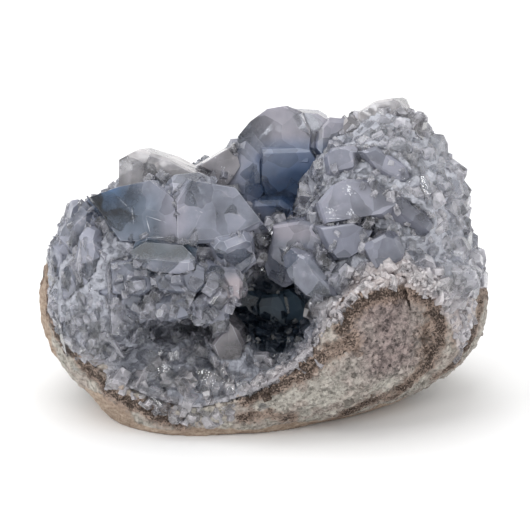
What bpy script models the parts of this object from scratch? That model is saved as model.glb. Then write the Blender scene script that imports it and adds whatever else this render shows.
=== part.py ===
"""A celestite crystal cluster: a bowl of weathered rock with a druse lining and large blocky crystals.

Millimetres in the tables, metres in the meshes. +X is right, -Y is the open front, +Z is up.
The cluster stands on the worn flat underside of its rock.
"""

import math
from itertools import combinations

import bmesh
import bpy
import numpy as np
from mathutils import Vector, noise

# Driving dimensions, in millimetres
MM = 0.001
GAP = 0.3
BELLY_HEIGHT = 26.0
BELLY_POWER = 2.3
TOP_LEAN = 0.0035
WALL = 4.0
BASIN_HEIGHT = 6.0
BED_HEIGHT = 17.0
BED_MARGIN = 1.0
UNDERSIDE = 2.0
ROCK_ROUGHNESS = 1.7
ROCK_LUMP = 13.0
LUMP_ROUGHNESS = 2.0
LUMP_SIZE = 6.5
BEVELLED = 0.55

# Every 15 degrees from +X, turning towards +Y: plan radius of the rock, height of its broken rim,
# and how much of the plan radius its flat underside takes up
PLAN_RADIUS = (60, 58, 55, 51, 48, 46, 45, 46, 48, 51, 55, 58,
               60, 57, 52, 46, 42, 39, 38, 39, 42, 46, 50, 56)
RIM_HEIGHT = (34, 38, 43, 47, 50, 52, 53, 52, 49, 46, 42, 39,
              37, 24, 17, 11, 9, 11, 15, 22, 36, 43, 39, 32)
FOOT_SHARE = (0.62, 0.65, 0.68, 0.70, 0.72, 0.74, 0.75, 0.75, 0.74, 0.73, 0.72, 0.70,
              0.70, 0.77, 0.85, 0.89, 0.86, 0.79, 0.76, 0.70, 0.62, 0.60, 0.60, 0.60)

# Lobes of the druse lining: centre and radii
LOBES = {
    "left_bank": ((-29, -3, 39), (27, 24, 18)),
    "left_top": ((-27, 3, 50), (15, 14, 12)),
    "left_skirt": ((-41, -5, 27), (16, 24, 17)),
    "right_bank": ((31, 3, 41), (24, 24, 33)),
    "right_crest": ((31.5, 7, 60), (15, 14, 16)),
    "right_skirt": ((32, -4, 36), (25, 26, 14)),
    "back_wall": ((2, 19, 38), (44, 23, 22)),
    "back_rise": ((6, 15, 52), (16, 11, 16)),
    "front_shelf": ((-16, -8, 14), (26, 26, 11)),
    "floor": ((-4, -4, 7), (36, 28, 13)),
}

# Habits: how far each family of edges and the corners are cut back, as a share of the crystal's half sizes
HABITS = {
    "blocky": {"uv": 0.34, "uw": 0.26, "vw": 0.22, "corner": 0.75},
    "tabular": {"uv": 0.62, "uw": 0.30, "vw": 0.18, "corner": 0.70},
    "pointed": {"uv": 0.30, "uw": 0.85, "vw": 0.34, "corner": 1.10},
    "bladed": {"uv": 0.50, "uw": 0.16, "vw": 0.60, "corner": 0.80},
}

# Crystals with a face of their own outline: centre of the face, facing (azimuth, elevation), depth,
# outline, and how much each side opens out behind its edge
FACES = {
    "blue_block_crystals": [
        ((-32, -20, 57.8), (-10, 20), 19,
         ((-13, 2), (-4.5, -8.5), (11, -8.5), (9, 2.5), (2.5, 7), (-5.5, 5)),
         (0.30, 0.34, 0.05, 0.05, 0.10, 0.06)),
        ((-13.7, -22, 57), (8, 15), 19,
         ((-8.5, 3.5), (-8.5, -7.5), (2.5, -7.5), (13, -3), (6.5, 6), (-5, 8.5)),
         (0.05, 0.22, 0.34, 0.10, 0.02, 0.05)),
    ],
    "pale_rear_crystals": [
        ((-27.9, -4, 63.6), (-15, 15), 12,
         ((-10.5, 1.5), (-10, -8), (12, -7), (11, 1), (2, 3), (-4, 5.5)),
         (0.20, 0.10, 0.10, 0.02, 0.02, 0.05)),
        ((-11.4, 1, 61.8), (4, 10), 12,
         ((-5, -4), (1, -5), (5, 0.5), (3.5, 6.5), (-6, 1)),
         (0.10, 0.10, 0.10, -0.05, 0.05)),
    ],
    "left_bank_crystals": [
        ((-33.1, -28.5, 41.5), (-12, 5), 14,
         ((-5.5, -4), (1.5, -4.5), (4.5, -2), (5, 2), (0.5, 4.5), (-6, 3.5)),
         (0.30, 0.25, 0.15, 0.10, 0.10, 0.30)),
        ((-20.8, -29.5, 42.2), (2, 7), 16,
         ((-5.5, -3.5), (3, -4.5), (5.5, -2), (5.5, 2), (2, 4), (-4, 3), (-7, 0.5)),
         (0.20, 0.20, 0.15, 0.10, 0.35, 0.35, 0.20)),
        ((-10.3, -28, 39.2), (20, 2), 15,
         ((-4.5, -1), (-2.5, -3.5), (1.5, -5), (5, -3), (5, 0.5), (3, 4), (-2.5, 5), (-4.5, 3)),
         (0.40, 0.20, 0.20, 0.30, 0.30, 0.20, 0.20, 0.45)),
        ((-14.1, -28.5, 32.6), (6, -14), 14,
         ((-4, -1), (-1, -4), (5, -2), (4.5, 3), (-5, 3.5)),
         (0.15, 0.10, 0.20, 0.10, 0.15)),
        ((-23.6, -28.8, 33.1), (-4, -10), 14,
         ((-4, -2), (0, -3.5), (4.5, -2), (3.5, 4), (-4, 3)),
         (0.15, 0.10, 0.15, 0.10, 0.15)),
        ((-6.4, -23.5, 44.8), (18, 8), 13,
         ((-3.5, -2), (0, -4), (4.5, -1), (3.5, 3), (0.5, 3.5), (-4.5, 1)),
         (0.10, 0.20, 0.30, 0.20, 0.10, 0.10)),
    ],
    "centre_crystals": [
        ((7.6, -16, 47), (-18, 4), 14,
         ((-6, 4), (-6.5, -4), (-2.5, -6.5), (6.5, -6.5), (7.5, 5.5), (1.5, 6)),
         (0.15, 0.10, 0.10, 0.10, -0.04, -0.04)),
    ],
    "right_bank_crystals": [
        ((23.5, -19, 59.4), (-6, 24), 13,
         ((-8, -6), (7, -3), (10, -1), (9.5, 1.5), (3.5, 5.5), (-3, 5.5), (-7, 3.5), (-10, -0.5)),
         (0.30, 0.30, 0.20, 0.10, 0.05, 0.05, 0.10, 0.30)),
        ((20.2, -23, 50.2), (4, 12), 12,
         ((-4, -1.5), (-2, -4.5), (1, -4.5), (4.5, -2.5), (7, 2), (2, 4), (-6, 3)),
         (0.30, 0.30, 0.20, 0.20, 0.20, 0.10, 0.20)),
        ((31.9, -13, 66.8), (8, 24), 13,
         ((-2.5, -1.5), (3, -5), (6, -3.5), (3.5, 0.5), (-3, 5), (-6.5, 4)),
         (0.30, 0.20, 0.20, 0.20, 0.20, 0.20)),
    ],
    "back_wall_crystals": [
        ((2.4, 4, 71.2), (-6, 16), 13,
         ((-8.5, -9.5), (-2, -9), (9, -9), (9.5, 0.5), (7, 5.5), (3, 7), (-2, 6), (-6.5, 2.5), (-10, -2)),
         (0.10, 0.10, 0.10, 0.10, 0.0, -0.1, -0.2, -0.3, -0.2)),
        ((6.8, 1.5, 58.9), (6, -6), 15,
         ((-8, -1), (-5, -7.5), (2.5, -7.5), (6, -5.5), (7.5, 3.5), (4.5, 8.5), (-7.5, 8.5)),
         (0.10, 0.10, 0.10, 0.10, 0.05, -0.10, 0.0)),
        ((14, 6, 71.5), (12, 14), 12,
         ((-3.5, -5), (0.5, -7), (4.5, -4.5), (3, 2), (0, 4), (-4.5, 4.5)),
         (0.10, 0.10, 0.20, 0.20, 0.10, 0.10)),
    ],
    "right_peak_crystals": [
        ((31.1, 5, 75.4), (-4, 18), 11,
         ((-6.5, -6), (4, -6), (6, -0.5), (4, 3.5), (1.5, 4.5), (-1.5, 4), (-7, 0.5)),
         (0.10, 0.10, 0.20, 0.20, 0.05, 0.10, 0.15)),
        ((22.6, 4.5, 73.4), (-10, 20), 8,
         ((2.5, -4), (2, 0.5), (-0.5, 2), (-2, 1), (-2.5, -4)), ()),
    ],
    "lip_point_crystal": [
        ((-9.3, -27.5, 24.5), (2, 18), 10,
         ((-2.5, -5), (3, -5), (4, -1), (2.5, 2.5), (0, 5), (-3, 1), (-4, -1)),
         (0.10, 0.10, 0.25, 0.25, 0.05, 0.35, 0.15)),
    ],
    "small_clear_crystal": [
        ((17.1, -30, 33.6), (10, 8), 9,
         ((-0.5, -3), (3, -1), (3.5, 2), (0, 2.5), (-2.5, 1), (-3, -1.5)),
         (0.20, 0.20, 0.20, 0.10, 0.30, 0.30)),
    ],
}

# Crystals of a plain habit: centre, size along and across the broad face and through it, facing, twist, habit
CRYSTALS = {
    "blue_block_crystals": [
        ((-25, -23, 47), (16, 7, 14), (-6, -10), -4, "bladed"),
        ((-9.5, -19, 48), (11, 9, 12), (30, -14), 14, "blocky"),
        ((-19, -12, 58), (13, 10, 9), (4, 50), 6, "tabular"),
    ],
    "left_bank_crystals": [
        ((-31.5, -23.5, 33.5), (9, 9, 9), (-16, -6), 34, "tabular"),
        ((-38.5, -22.5, 34), (7, 8, 8), (-30, -2), 12, "blocky"),
    ],
    "left_flank_crystals": [
        ((-46, -11, 47), (7, 16, 12), (-54, 12), -14, "bladed"),
        ((-42.5, -16.5, 43.5), (8, 16, 12), (-38, 8), -8, "tabular"),
        ((-49, -9, 38.5), (8, 15, 13), (-60, 4), -4, "blocky"),
        ((-45.5, -16, 34), (8, 15, 13), (-46, 0), 4, "tabular"),
        ((-41.5, -8.5, 52), (9, 12, 12), (-44, 30), -24, "blocky"),
        ((-47, -4, 48), (9, 12, 11), (-76, 22), -10, "tabular"),
    ],
    "back_wall_crystals": [
        ((-4.5, 7, 60), (11, 17, 12), (-24, 12), 8, "blocky"),
        ((17.5, 9, 66), (11, 14, 12), (16, 20), -10, "tabular"),
        ((2, 4, 49), (13, 12, 12), (-10, -8), 6, "blocky"),
    ],
    "centre_crystals": [
        ((12.5, -18.5, 39.5), (17, 8, 11), (-20, 4), -42, "tabular"),
        ((17.5, -18, 37), (14, 7, 12), (-24, -14), -40, "bladed"),
        ((6, -10, 41), (9, 12, 10), (-36, -4), -20, "blocky"),
    ],
    "right_bank_crystals": [
        ((20.5, -5, 65.5), (9, 7, 10), (-16, 22), 16, "blocky"),
        ((36, -15.5, 54), (13, 7, 9), (16, 22), -38, "bladed"),
        ((30, -21.5, 47), (9, 8, 9), (10, 14), 24, "blocky"),
    ],
    "right_peak_crystals": [
        ((38.5, 4, 71), (8, 9, 9), (34, 26), -30, "pointed"),
    ],
    "cavity_crystals": [
        ((2.5, -2, 22.5), (8, 12, 8), (-6, 14), 8, "blocky"),
        ((-3.5, 0, 26), (8, 13, 8), (12, 10), -22, "bladed"),
        ((9, -3, 25), (8, 12, 8), (-24, 6), 26, "tabular"),
        ((3, 5, 34), (12, 12, 9), (0, -12), -6, "tabular"),
    ],
    "rear_bank_crystals": [
        ((-15, 26, 50), (14, 10, 12), (196, 30), 18, "blocky"),
        ((-5, 29, 53), (13, 12, 12), (172, 24), -26, "tabular"),
        ((5, 29, 56), (13, 11, 12), (184, 34), 34, "blocky"),
        ((15, 26, 58.5), (14, 11, 12), (164, 26), -14, "tabular"),
        ((23, 21, 62), (12, 11, 12), (150, 22), 8, "pointed"),
    ],
}

# Crystal groups in the order they claim their room: a later group is cut back from an earlier one
GROUPS = (
    "blue_block_crystals", "centre_crystals", "back_wall_crystals", "pale_rear_crystals", "left_bank_crystals",
    "right_bank_crystals", "right_peak_crystals", "left_flank_crystals", "lip_point_crystal",
    "small_clear_crystal", "cavity_crystals", "rear_bank_crystals",
)

# Finishes: colour, roughness, metallic value
FINISHES = {
    "weathered_rock": ((0.44, 0.37, 0.30), 0.9, 0.0),
    "druse": ((0.50, 0.54, 0.61), 0.4, 0.0),
    "blue_crystal": ((0.38, 0.47, 0.58), 0.12, 0.0),
    "pale_crystal": ((0.60, 0.60, 0.62), 0.18, 0.0),
}
PALE = ("pale_rear_crystals", "lip_point_crystal", "small_clear_crystal", "right_peak_crystals")


def clear_scene():
    for thing in list(bpy.data.objects):
        bpy.data.objects.remove(thing)


def finish(name):
    colour, roughness, metallic = FINISHES[name]
    made = bpy.data.materials.new(name)
    made.use_nodes = True
    shader = made.node_tree.nodes["Principled BSDF"]
    shader.inputs["Base Color"].default_value = (*colour, 1)
    shader.inputs["Roughness"].default_value = roughness
    shader.inputs["Metallic"].default_value = metallic
    return made


def to_object(name, shape):
    """A new object from a bmesh, which it frees."""
    mesh = bpy.data.meshes.new(name)
    bmesh.ops.recalc_face_normals(shape, faces=shape.faces)
    shape.to_mesh(mesh)
    shape.free()
    made = bpy.data.objects.new(name, mesh)
    bpy.context.scene.collection.objects.link(made)
    return made


def axes(facing, twist=0.0):
    """Unit vectors along, across and out of a face that looks to this azimuth and elevation, in degrees."""
    azimuth, elevation, turn = (math.radians(angle) for angle in (*facing, twist))
    out = np.array((math.sin(azimuth) * math.cos(elevation),
                    -math.cos(azimuth) * math.cos(elevation), math.sin(elevation)))
    level = np.array((math.cos(azimuth), math.sin(azimuth), 0.0))
    upward = np.cross(out, level)
    along = level * math.cos(turn) + upward * math.sin(turn)
    across = upward * math.cos(turn) - level * math.sin(turn)
    return np.array((along, across, out))


def placed(planes, centre, frame):
    """Local planes (normal, distance) as unit normals and distances in the part's frame."""
    normals = np.array([plane[0] for plane in planes], float)
    distances = np.array([plane[1] for plane in planes], float)
    lengths = np.linalg.norm(normals, axis=1)
    normals = normals / lengths[:, None] @ frame
    return normals, distances / lengths + normals @ np.array(centre, float)


def outlined_crystal(centre, facing, depth, outline, flares):
    """A crystal known by its front face: planes for the face, its sides, its back and a few bevels."""
    uneven = np.random.default_rng(int(abs(sum(centre)) * 10) + 3)
    planes = [((0, 0, 1), 0.0), ((0, 0, -1), depth)]
    for i, start in enumerate(outline):
        end = outline[(i + 1) % len(outline)]
        side = np.array((end[1] - start[1], start[0] - end[0]), float)
        side /= np.linalg.norm(side)
        reach = side @ np.array(start, float)
        planes.append(((*side, flares[i] if flares else 0.12), reach))
        if uneven.random() < BEVELLED:
            planes.append(((*side, uneven.uniform(0.5, 1.6)), reach - uneven.uniform(0.2, 1.0)))
    return placed(planes, centre, axes(facing))


def habit_crystal(centre, size, facing, twist, habit):
    """A block with its edges and corners cut back as the habit says, no two faces quite alike."""
    cuts = HABITS[habit]
    half = np.array(size, float) / 2
    uneven = np.random.default_rng(int(abs(sum(centre)) * 10) + 7)
    signs = (-1, 1)
    planes = [(sign * np.eye(3)[i], half[i]) for i in range(3) for sign in signs]
    for family, (i, j) in {"uv": (0, 1), "uw": (0, 2), "vw": (1, 2)}.items():
        for a in signs:
            for b in signs:
                normal = np.zeros(3)
                normal[i] = a / half[i]
                normal[j] = b / half[j]
                planes.append((normal, 2 - cuts[family] * uneven.uniform(0.6, 1.4)))
    for a in signs:
        for b in signs:
            for c in signs:
                normal = np.array((a, b, c)) / half
                planes.append((normal, 3 - cuts["corner"] * uneven.uniform(0.7, 1.3)))
    return placed(planes, centre, axes(facing, twist))


def corners_of(normals, distances):
    """Where three planes meet and no other plane cuts the point off."""
    sets = np.array(list(combinations(range(len(normals)), 3)))
    systems = normals[sets]
    sound = np.abs(np.linalg.det(systems)) > 1e-4
    points = np.linalg.solve(systems[sound], distances[sets[sound]][..., None])[..., 0]
    inside = (points @ normals.T <= distances + 1e-6).all(axis=1)
    return np.unique(np.round(points[inside], 5), axis=0)


def crystal_solid(name, planes, grow=0.0):
    """The convex solid behind the planes, each moved out by grow."""
    normals, distances = planes
    shape = bmesh.new()
    points = [shape.verts.new(Vector(point) * MM) for point in corners_of(normals, distances + grow)]
    hull = bmesh.ops.convex_hull(shape, input=points)
    loose = {v for v in hull["geom_interior"] + hull["geom_unused"] if isinstance(v, bmesh.types.BMVert)}
    bmesh.ops.delete(shape, geom=list(loose), context="VERTS")
    bmesh.ops.dissolve_limit(shape, angle_limit=math.radians(0.5), verts=shape.verts, edges=shape.edges)
    return to_object(name, shape)


def planes_of(group):
    """Every crystal of a group, as planes."""
    shaped = [outlined_crystal(*row) for row in FACES.get(group, [])]
    return shaped + [habit_crystal(*row) for row in CRYSTALS.get(group, [])]


def box_of(thing):
    points = np.array([thing.matrix_world @ vertex.co for vertex in thing.data.vertices])
    return points.min(axis=0), points.max(axis=0)


def boxes_meet(one, other):
    (low, high), (other_low, other_high) = box_of(one), box_of(other)
    return bool((low < other_high).all() and (other_low < high).all())


def keep_largest(mesh):
    """Drops the crumbs that a cut leaves beside the main body."""
    shape = bmesh.new()
    shape.from_mesh(mesh)
    left = set(shape.verts)
    bodies = []
    while left:
        body, edge = set(), [left.pop()]
        while edge:
            vertex = edge.pop()
            body.add(vertex)
            near = {link.other_vert(vertex) for link in vertex.link_edges} & left
            left -= near
            edge += near
        bodies.append(body)
    bodies.sort(key=len)
    for crumb in bodies[:-1]:
        bmesh.ops.delete(shape, geom=list(crumb), context="VERTS")
    if len(bodies) > 1:
        print(mesh.name, "loses crumbs of", [len(crumb) for crumb in bodies[:-1]], "points")
    shape.to_mesh(mesh)
    shape.free()


def combine(target, tools, operation):
    """Applies one Boolean with each tool to target, and removes the tools."""
    tools = [tool for tool in tools if tool is not target]
    for tool in tools:
        step = target.modifiers.new(operation.lower(), "BOOLEAN")
        step.operation = operation
        step.object = tool
    bpy.context.view_layer.update()
    graph = bpy.context.evaluated_depsgraph_get()
    mesh = bpy.data.meshes.new_from_object(target.evaluated_get(graph))
    target.modifiers.clear()
    target.data = mesh
    keep_largest(mesh)
    for tool in tools:
        bpy.data.objects.remove(tool)


def around(values, angle):
    """A ring of values, read smoothly at any angle in radians."""
    place = angle / (2 * math.pi) * len(values)
    index = math.floor(place)
    share = place - index
    a, b, c, d = (values[(index + k) % len(values)] for k in (-1, 0, 1, 2))
    return b + 0.5 * share * (c - a + share * (2 * a - 5 * b + 4 * c - d + share * (3 * (b - c) + d - a)))


def wall_spread(angle, height):
    """How wide the rock is at this height, as a share of its plan radius."""
    if height >= BELLY_HEIGHT:
        return 1 - TOP_LEAN * (height - BELLY_HEIGHT)
    reach = (1 - around(FOOT_SHARE, angle) ** BELLY_POWER) ** (1 / BELLY_POWER)
    return (1 - (reach * (1 - height / BELLY_HEIGHT)) ** BELLY_POWER) ** (1 / BELLY_POWER)


def rock_profile(angle, grow):
    """(radius, height) from the middle of the underside, up the outer wall, over the rim and into the basin."""
    radius = around(PLAN_RADIUS, angle)
    rim = around(RIM_HEIGHT, angle)
    foot = radius * wall_spread(angle, 0)
    profile = [(foot * share, -grow) for share in (0.5, 0.85, 1.0)]
    for share in (0.08, 0.22, 0.40, 0.60, 0.80, 1.0):
        height = rim * share
        profile.append((radius * wall_spread(angle, height) + grow, height))
    inner = radius * wall_spread(angle, rim) - WALL - grow
    floor = min(BASIN_HEIGHT, rim - 2.0)
    profile.append((inner, rim + grow))
    for share, drop in ((0.93, 0.35), (0.80, 0.70), (0.55, 0.95)):
        profile.append((inner * share, rim + (floor - rim) * drop + grow))
    return profile


def bed_profile(angle):
    """(radius, height) of the druse that fills the bowl: up from under its middle, over the rim and back in."""
    rim = around(RIM_HEIGHT, angle)
    outer = around(PLAN_RADIUS, angle) * wall_spread(angle, rim) - BED_MARGIN
    steep = 0.5 if rim < BED_HEIGHT else 1.3
    profile = [(outer * 0.5, 1.0), (outer - WALL, 1.0), (outer, rim - 1.5), (outer, rim + 0.9)]
    for share in (0.97, 0.90, 0.78, 0.60, 0.35):
        profile.append((outer * share, rim + 1.6 + (BED_HEIGHT - rim) * (1 - share * share) ** steep))
    return profile


def turned(name, profile_at, below, above, rough=None, turns=56):
    """Rings of points round the vertical, closed by one point below and one above."""
    shape = bmesh.new()
    rows = []
    for turn in range(turns):
        angle = 2 * math.pi * turn / turns
        outward = Vector((math.cos(angle), math.sin(angle), 0))
        row = []
        for step, (radius, height) in enumerate(profile_at(angle)):
            point = outward * radius + Vector((0, 0, height))
            if rough and rough[0] <= step <= rough[1]:
                point += (outward + Vector((0, 0, 0.25))) * ROCK_ROUGHNESS * noise.noise(point / ROCK_LUMP)
            row.append(shape.verts.new(point * MM))
        rows.append(row)
    low = shape.verts.new((0, 0, below * MM))
    high = shape.verts.new((0, 0, above * MM))
    for row, after in zip(rows, rows[1:] + rows[:1]):
        shape.faces.new((low, after[0], row[0]))
        shape.faces.new((high, row[-1], after[-1]))
        for i in range(len(row) - 1):
            shape.faces.new((row[i], after[i], after[i + 1]))
            shape.faces.new((row[i], after[i + 1], row[i + 1]))
    return to_object(name, shape)


def rock(name, grow=0.0):
    """The bowl of rock, each surface moved out by grow."""
    return turned(name, lambda angle: rock_profile(angle, grow), -grow, BASIN_HEIGHT + grow, rough=(3, 8))


def lobe(name, centre, radii):
    """One swollen lobe of the lining, with a knobbly surface."""
    shape = bmesh.new()
    bmesh.ops.create_icosphere(shape, subdivisions=4, radius=1.0)
    for vertex in shape.verts:
        direction = vertex.co.copy()
        point = Vector([c + r * d for c, r, d in zip(centre, radii, direction)])
        point += direction * LUMP_ROUGHNESS * noise.noise(point / LUMP_SIZE)
        vertex.co = point * MM
    return to_object(name, shape)


def block(name, low, high):
    """A plain box from corner to corner."""
    shape = bmesh.new()
    bmesh.ops.create_cube(shape, size=1.0)
    for vertex in shape.verts:
        vertex.co = Vector([(a + b) / 2 + (b - a) * c for a, b, c in zip(low, high, vertex.co)]) * MM
    return to_object(name, shape)


def thinned(target, share):
    """Fewer triangles on a free-form body, before flat faces are cut into it."""
    step = target.modifiers.new("thin", "DECIMATE")
    step.ratio = share
    bpy.context.view_layer.update()
    graph = bpy.context.evaluated_depsgraph_get()
    mesh = bpy.data.meshes.new_from_object(target.evaluated_get(graph))
    target.modifiers.clear()
    target.data = mesh


def lining():
    """The druse that coats the bowl: its bed and lobes joined, then cut back from the rock and the ground."""
    body = turned("druse_lining", bed_profile, 1.0, BED_HEIGHT + 1.6)
    lobes = [lobe(name, *row) for name, row in LOBES.items()]
    combine(body, lobes, "UNION")
    thinned(body, 0.11)
    ground = block("ground", (-90, -90, -40), (90, 90, UNDERSIDE))
    combine(body, [rock("rock_with_gap", GAP), ground], "DIFFERENCE")
    return body


def crystal_group(name, earlier):
    """The crystals of one group grown into one solid, cut back from the groups before it."""
    planes = planes_of(name)
    solids = [crystal_solid(f"{name}_{i}", each) for i, each in enumerate(planes)]
    body = solids[0]
    body.name = name
    combine(body, solids[1:], "UNION")
    sockets = [crystal_solid("socket", each, GAP) for each in earlier]
    near = [socket for socket in sockets if boxes_meet(body, socket)]
    for socket in set(sockets) - set(near):
        bpy.data.objects.remove(socket)
    if near:
        combine(body, near, "DIFFERENCE")
    return body, planes


def seat(body, planes):
    """Cuts the sockets of these crystals out of a body."""
    sockets = [crystal_solid("socket", each, GAP) for each in planes]
    near = [socket for socket in sockets if boxes_meet(body, socket)]
    for socket in set(sockets) - set(near):
        bpy.data.objects.remove(socket)
    combine(body, near, "DIFFERENCE")


def recentre(nodes):
    """Puts the origin under the middle of the whole cluster's box, at the height of its underside."""
    boxes = [box_of(node) for node in nodes]
    low = np.min([box[0] for box in boxes], axis=0)
    high = np.max([box[1] for box in boxes], axis=0)
    shift = Vector((-(low[0] + high[0]) / 2, -(low[1] + high[1]) / 2, 0))
    for node in nodes:
        node.data.transform(node.matrix_world)
        for vertex in node.data.vertices:
            vertex.co += shift
    print("moved by", [round(side / MM, 2) for side in shift], "mm")


def main():
    clear_scene()
    nodes, taken = {}, []
    for name in GROUPS:
        nodes[name], planes = crystal_group(name, taken)
        taken += planes
    nodes["druse_lining"] = lining()
    seat(nodes["druse_lining"], taken)
    nodes["matrix_rock"] = rock("matrix_rock")
    seat(nodes["matrix_rock"], taken)
    recentre(list(nodes.values()))
    finishes = {name: finish(name) for name in FINISHES}
    for name, node in nodes.items():
        if name == "matrix_rock":
            look = "weathered_rock"
        elif name == "druse_lining":
            look = "druse"
        else:
            look = "pale_crystal" if name in PALE else "blue_crystal"
        node.data.materials.clear()
        node.data.materials.append(finishes[look])


main()
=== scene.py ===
# %% [markdown]
# # A celestite crystal cluster
# Celestite is strontium sulphate. It lines hollows in limestone with blocky grey-blue crystals, and this
# piece is a broken-off part of such a hollow: a bowl of weathered rock, a pale massive band where the
# crystals start, a crust of small crystals, and large crystals that stand round a dark pocket.
# The solid model already has the large crystals at their real size, so they stay as they are and get
# a finish. The rock and the crust are too coarse there, so this script makes them again in fine mesh.

# %% Load the solid model
import math
from itertools import combinations

import bmesh
import bpy
import numpy as np
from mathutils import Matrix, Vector, noise
from mathutils.bvhtree import BVHTree


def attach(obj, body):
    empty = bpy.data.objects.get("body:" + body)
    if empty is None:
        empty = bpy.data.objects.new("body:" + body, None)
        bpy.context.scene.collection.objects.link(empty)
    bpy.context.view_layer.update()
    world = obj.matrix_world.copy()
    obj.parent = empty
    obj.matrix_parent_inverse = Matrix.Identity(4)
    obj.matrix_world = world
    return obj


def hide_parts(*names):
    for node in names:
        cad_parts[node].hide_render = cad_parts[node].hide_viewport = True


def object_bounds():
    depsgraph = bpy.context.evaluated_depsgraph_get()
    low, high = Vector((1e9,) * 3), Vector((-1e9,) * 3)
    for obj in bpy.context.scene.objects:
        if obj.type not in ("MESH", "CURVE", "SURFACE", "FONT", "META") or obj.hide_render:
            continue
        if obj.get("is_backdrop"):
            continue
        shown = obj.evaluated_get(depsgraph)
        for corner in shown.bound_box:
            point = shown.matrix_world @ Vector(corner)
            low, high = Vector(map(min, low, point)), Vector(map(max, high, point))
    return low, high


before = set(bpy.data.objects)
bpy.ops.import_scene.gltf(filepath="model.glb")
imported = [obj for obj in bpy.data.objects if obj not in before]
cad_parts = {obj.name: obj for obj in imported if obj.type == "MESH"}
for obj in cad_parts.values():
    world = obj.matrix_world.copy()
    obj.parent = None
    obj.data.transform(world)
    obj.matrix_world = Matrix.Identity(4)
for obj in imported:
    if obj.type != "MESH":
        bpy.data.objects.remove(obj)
cad_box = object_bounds()
MM = 0.001
ROCK, CRUST = "matrix_rock", "druse_lining"
LARGE = sorted(set(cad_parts) - {ROCK, CRUST})
print("large crystals:", ", ".join(LARGE))

# %% [markdown]
# ## Sums with sockets
# A finish is a sum: so much noise, less in the hollows, times a colour. Nodes could be wired one by one,
# but written as Python the sum can be read. The class wraps a node's output, so that + - * on it add the
# node that does that sum: a Math node for values, Vector Math for places, and Mix for colours, because a
# Math node would turn a colour grey.

# %% A wire that can be used in sums
class Wire:
    """One output of a node, ready for Python arithmetic."""

    def __init__(self, look, socket):
        self.look = look
        self.socket = socket

    def joined(self, operation, first, second):
        """The node that does this sum, with wires or plain values on its two inputs."""
        kinds = {part.socket.type for part in (first, second) if isinstance(part, Wire)}
        if "RGBA" in kinds:
            settings = {"data_type": "RGBA", "blend_type": operation}
            return self.look.node("ShaderNodeMix", settings, {0: 1.0, 6: first, 7: second}, 2)
        kind = "ShaderNodeVectorMath" if "VECTOR" in kinds else "ShaderNodeMath"
        return self.look.node(kind, {"operation": operation}, {0: first, 1: second})

    def __add__(self, other):
        return self.joined("ADD", self, other)

    def __sub__(self, other):
        return self.joined("SUBTRACT", self, other)

    def __rsub__(self, other):
        return self.joined("SUBTRACT", other, self)

    def __mul__(self, other):
        return self.joined("MULTIPLY", self, other)

    __radd__ = __add__
    __rmul__ = __mul__

    def step(self, low, high):
        """0 below low and 1 above high, with a smooth rise between."""
        sockets = {"Value": self, "From Min": low, "From Max": high}
        return self.look.node("ShaderNodeMapRange", {"interpolation_type": "SMOOTHSTEP"}, sockets)


# %% [markdown]
# ## One way to add a node
# Every node that isn't a plain sum is added in the same way: its type, its settings, then a value or a
# wire for each socket. One method does that for materials and for the sky, so that a finish further on
# names only what it changes.

# %% Nodes written as Python
class Nodes:
    """The node tree of a material or a sky."""

    def __init__(self, owner):
        self.owner = owner
        self.owner.use_nodes = True
        self.tree = self.owner.node_tree
        self.tree.nodes.clear()

    def node(self, kind, settings=None, sockets=None, output=0):
        """Adds a node: its settings first, then the values or wires of its sockets."""
        made = self.tree.nodes.new(kind)
        for key, value in (settings or {}).items():
            setattr(made, key, value)
        for key, value in (sockets or {}).items():
            socket = made.inputs[key]
            alone = not hasattr(value, "__len__")
            if isinstance(value, Wire):
                self.tree.links.new(value.socket, socket)
            elif socket.type == "RGBA":
                socket.default_value = (value, value, value, 1.0) if alone else (*value, 1.0)
            elif socket.type == "VECTOR" and alone:
                socket.default_value = (value, value, value)
            else:
                socket.default_value = value
        return Wire(self, made.outputs[output])


# %% [markdown]
# ## Patterns
# The same few patterns come back in every finish: noise, cells, a value that the mesh carries, a window
# round a place, and the line along an edge. Lengths are in millimetres here, because that is the scale on
# which a crystal face varies.

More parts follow.
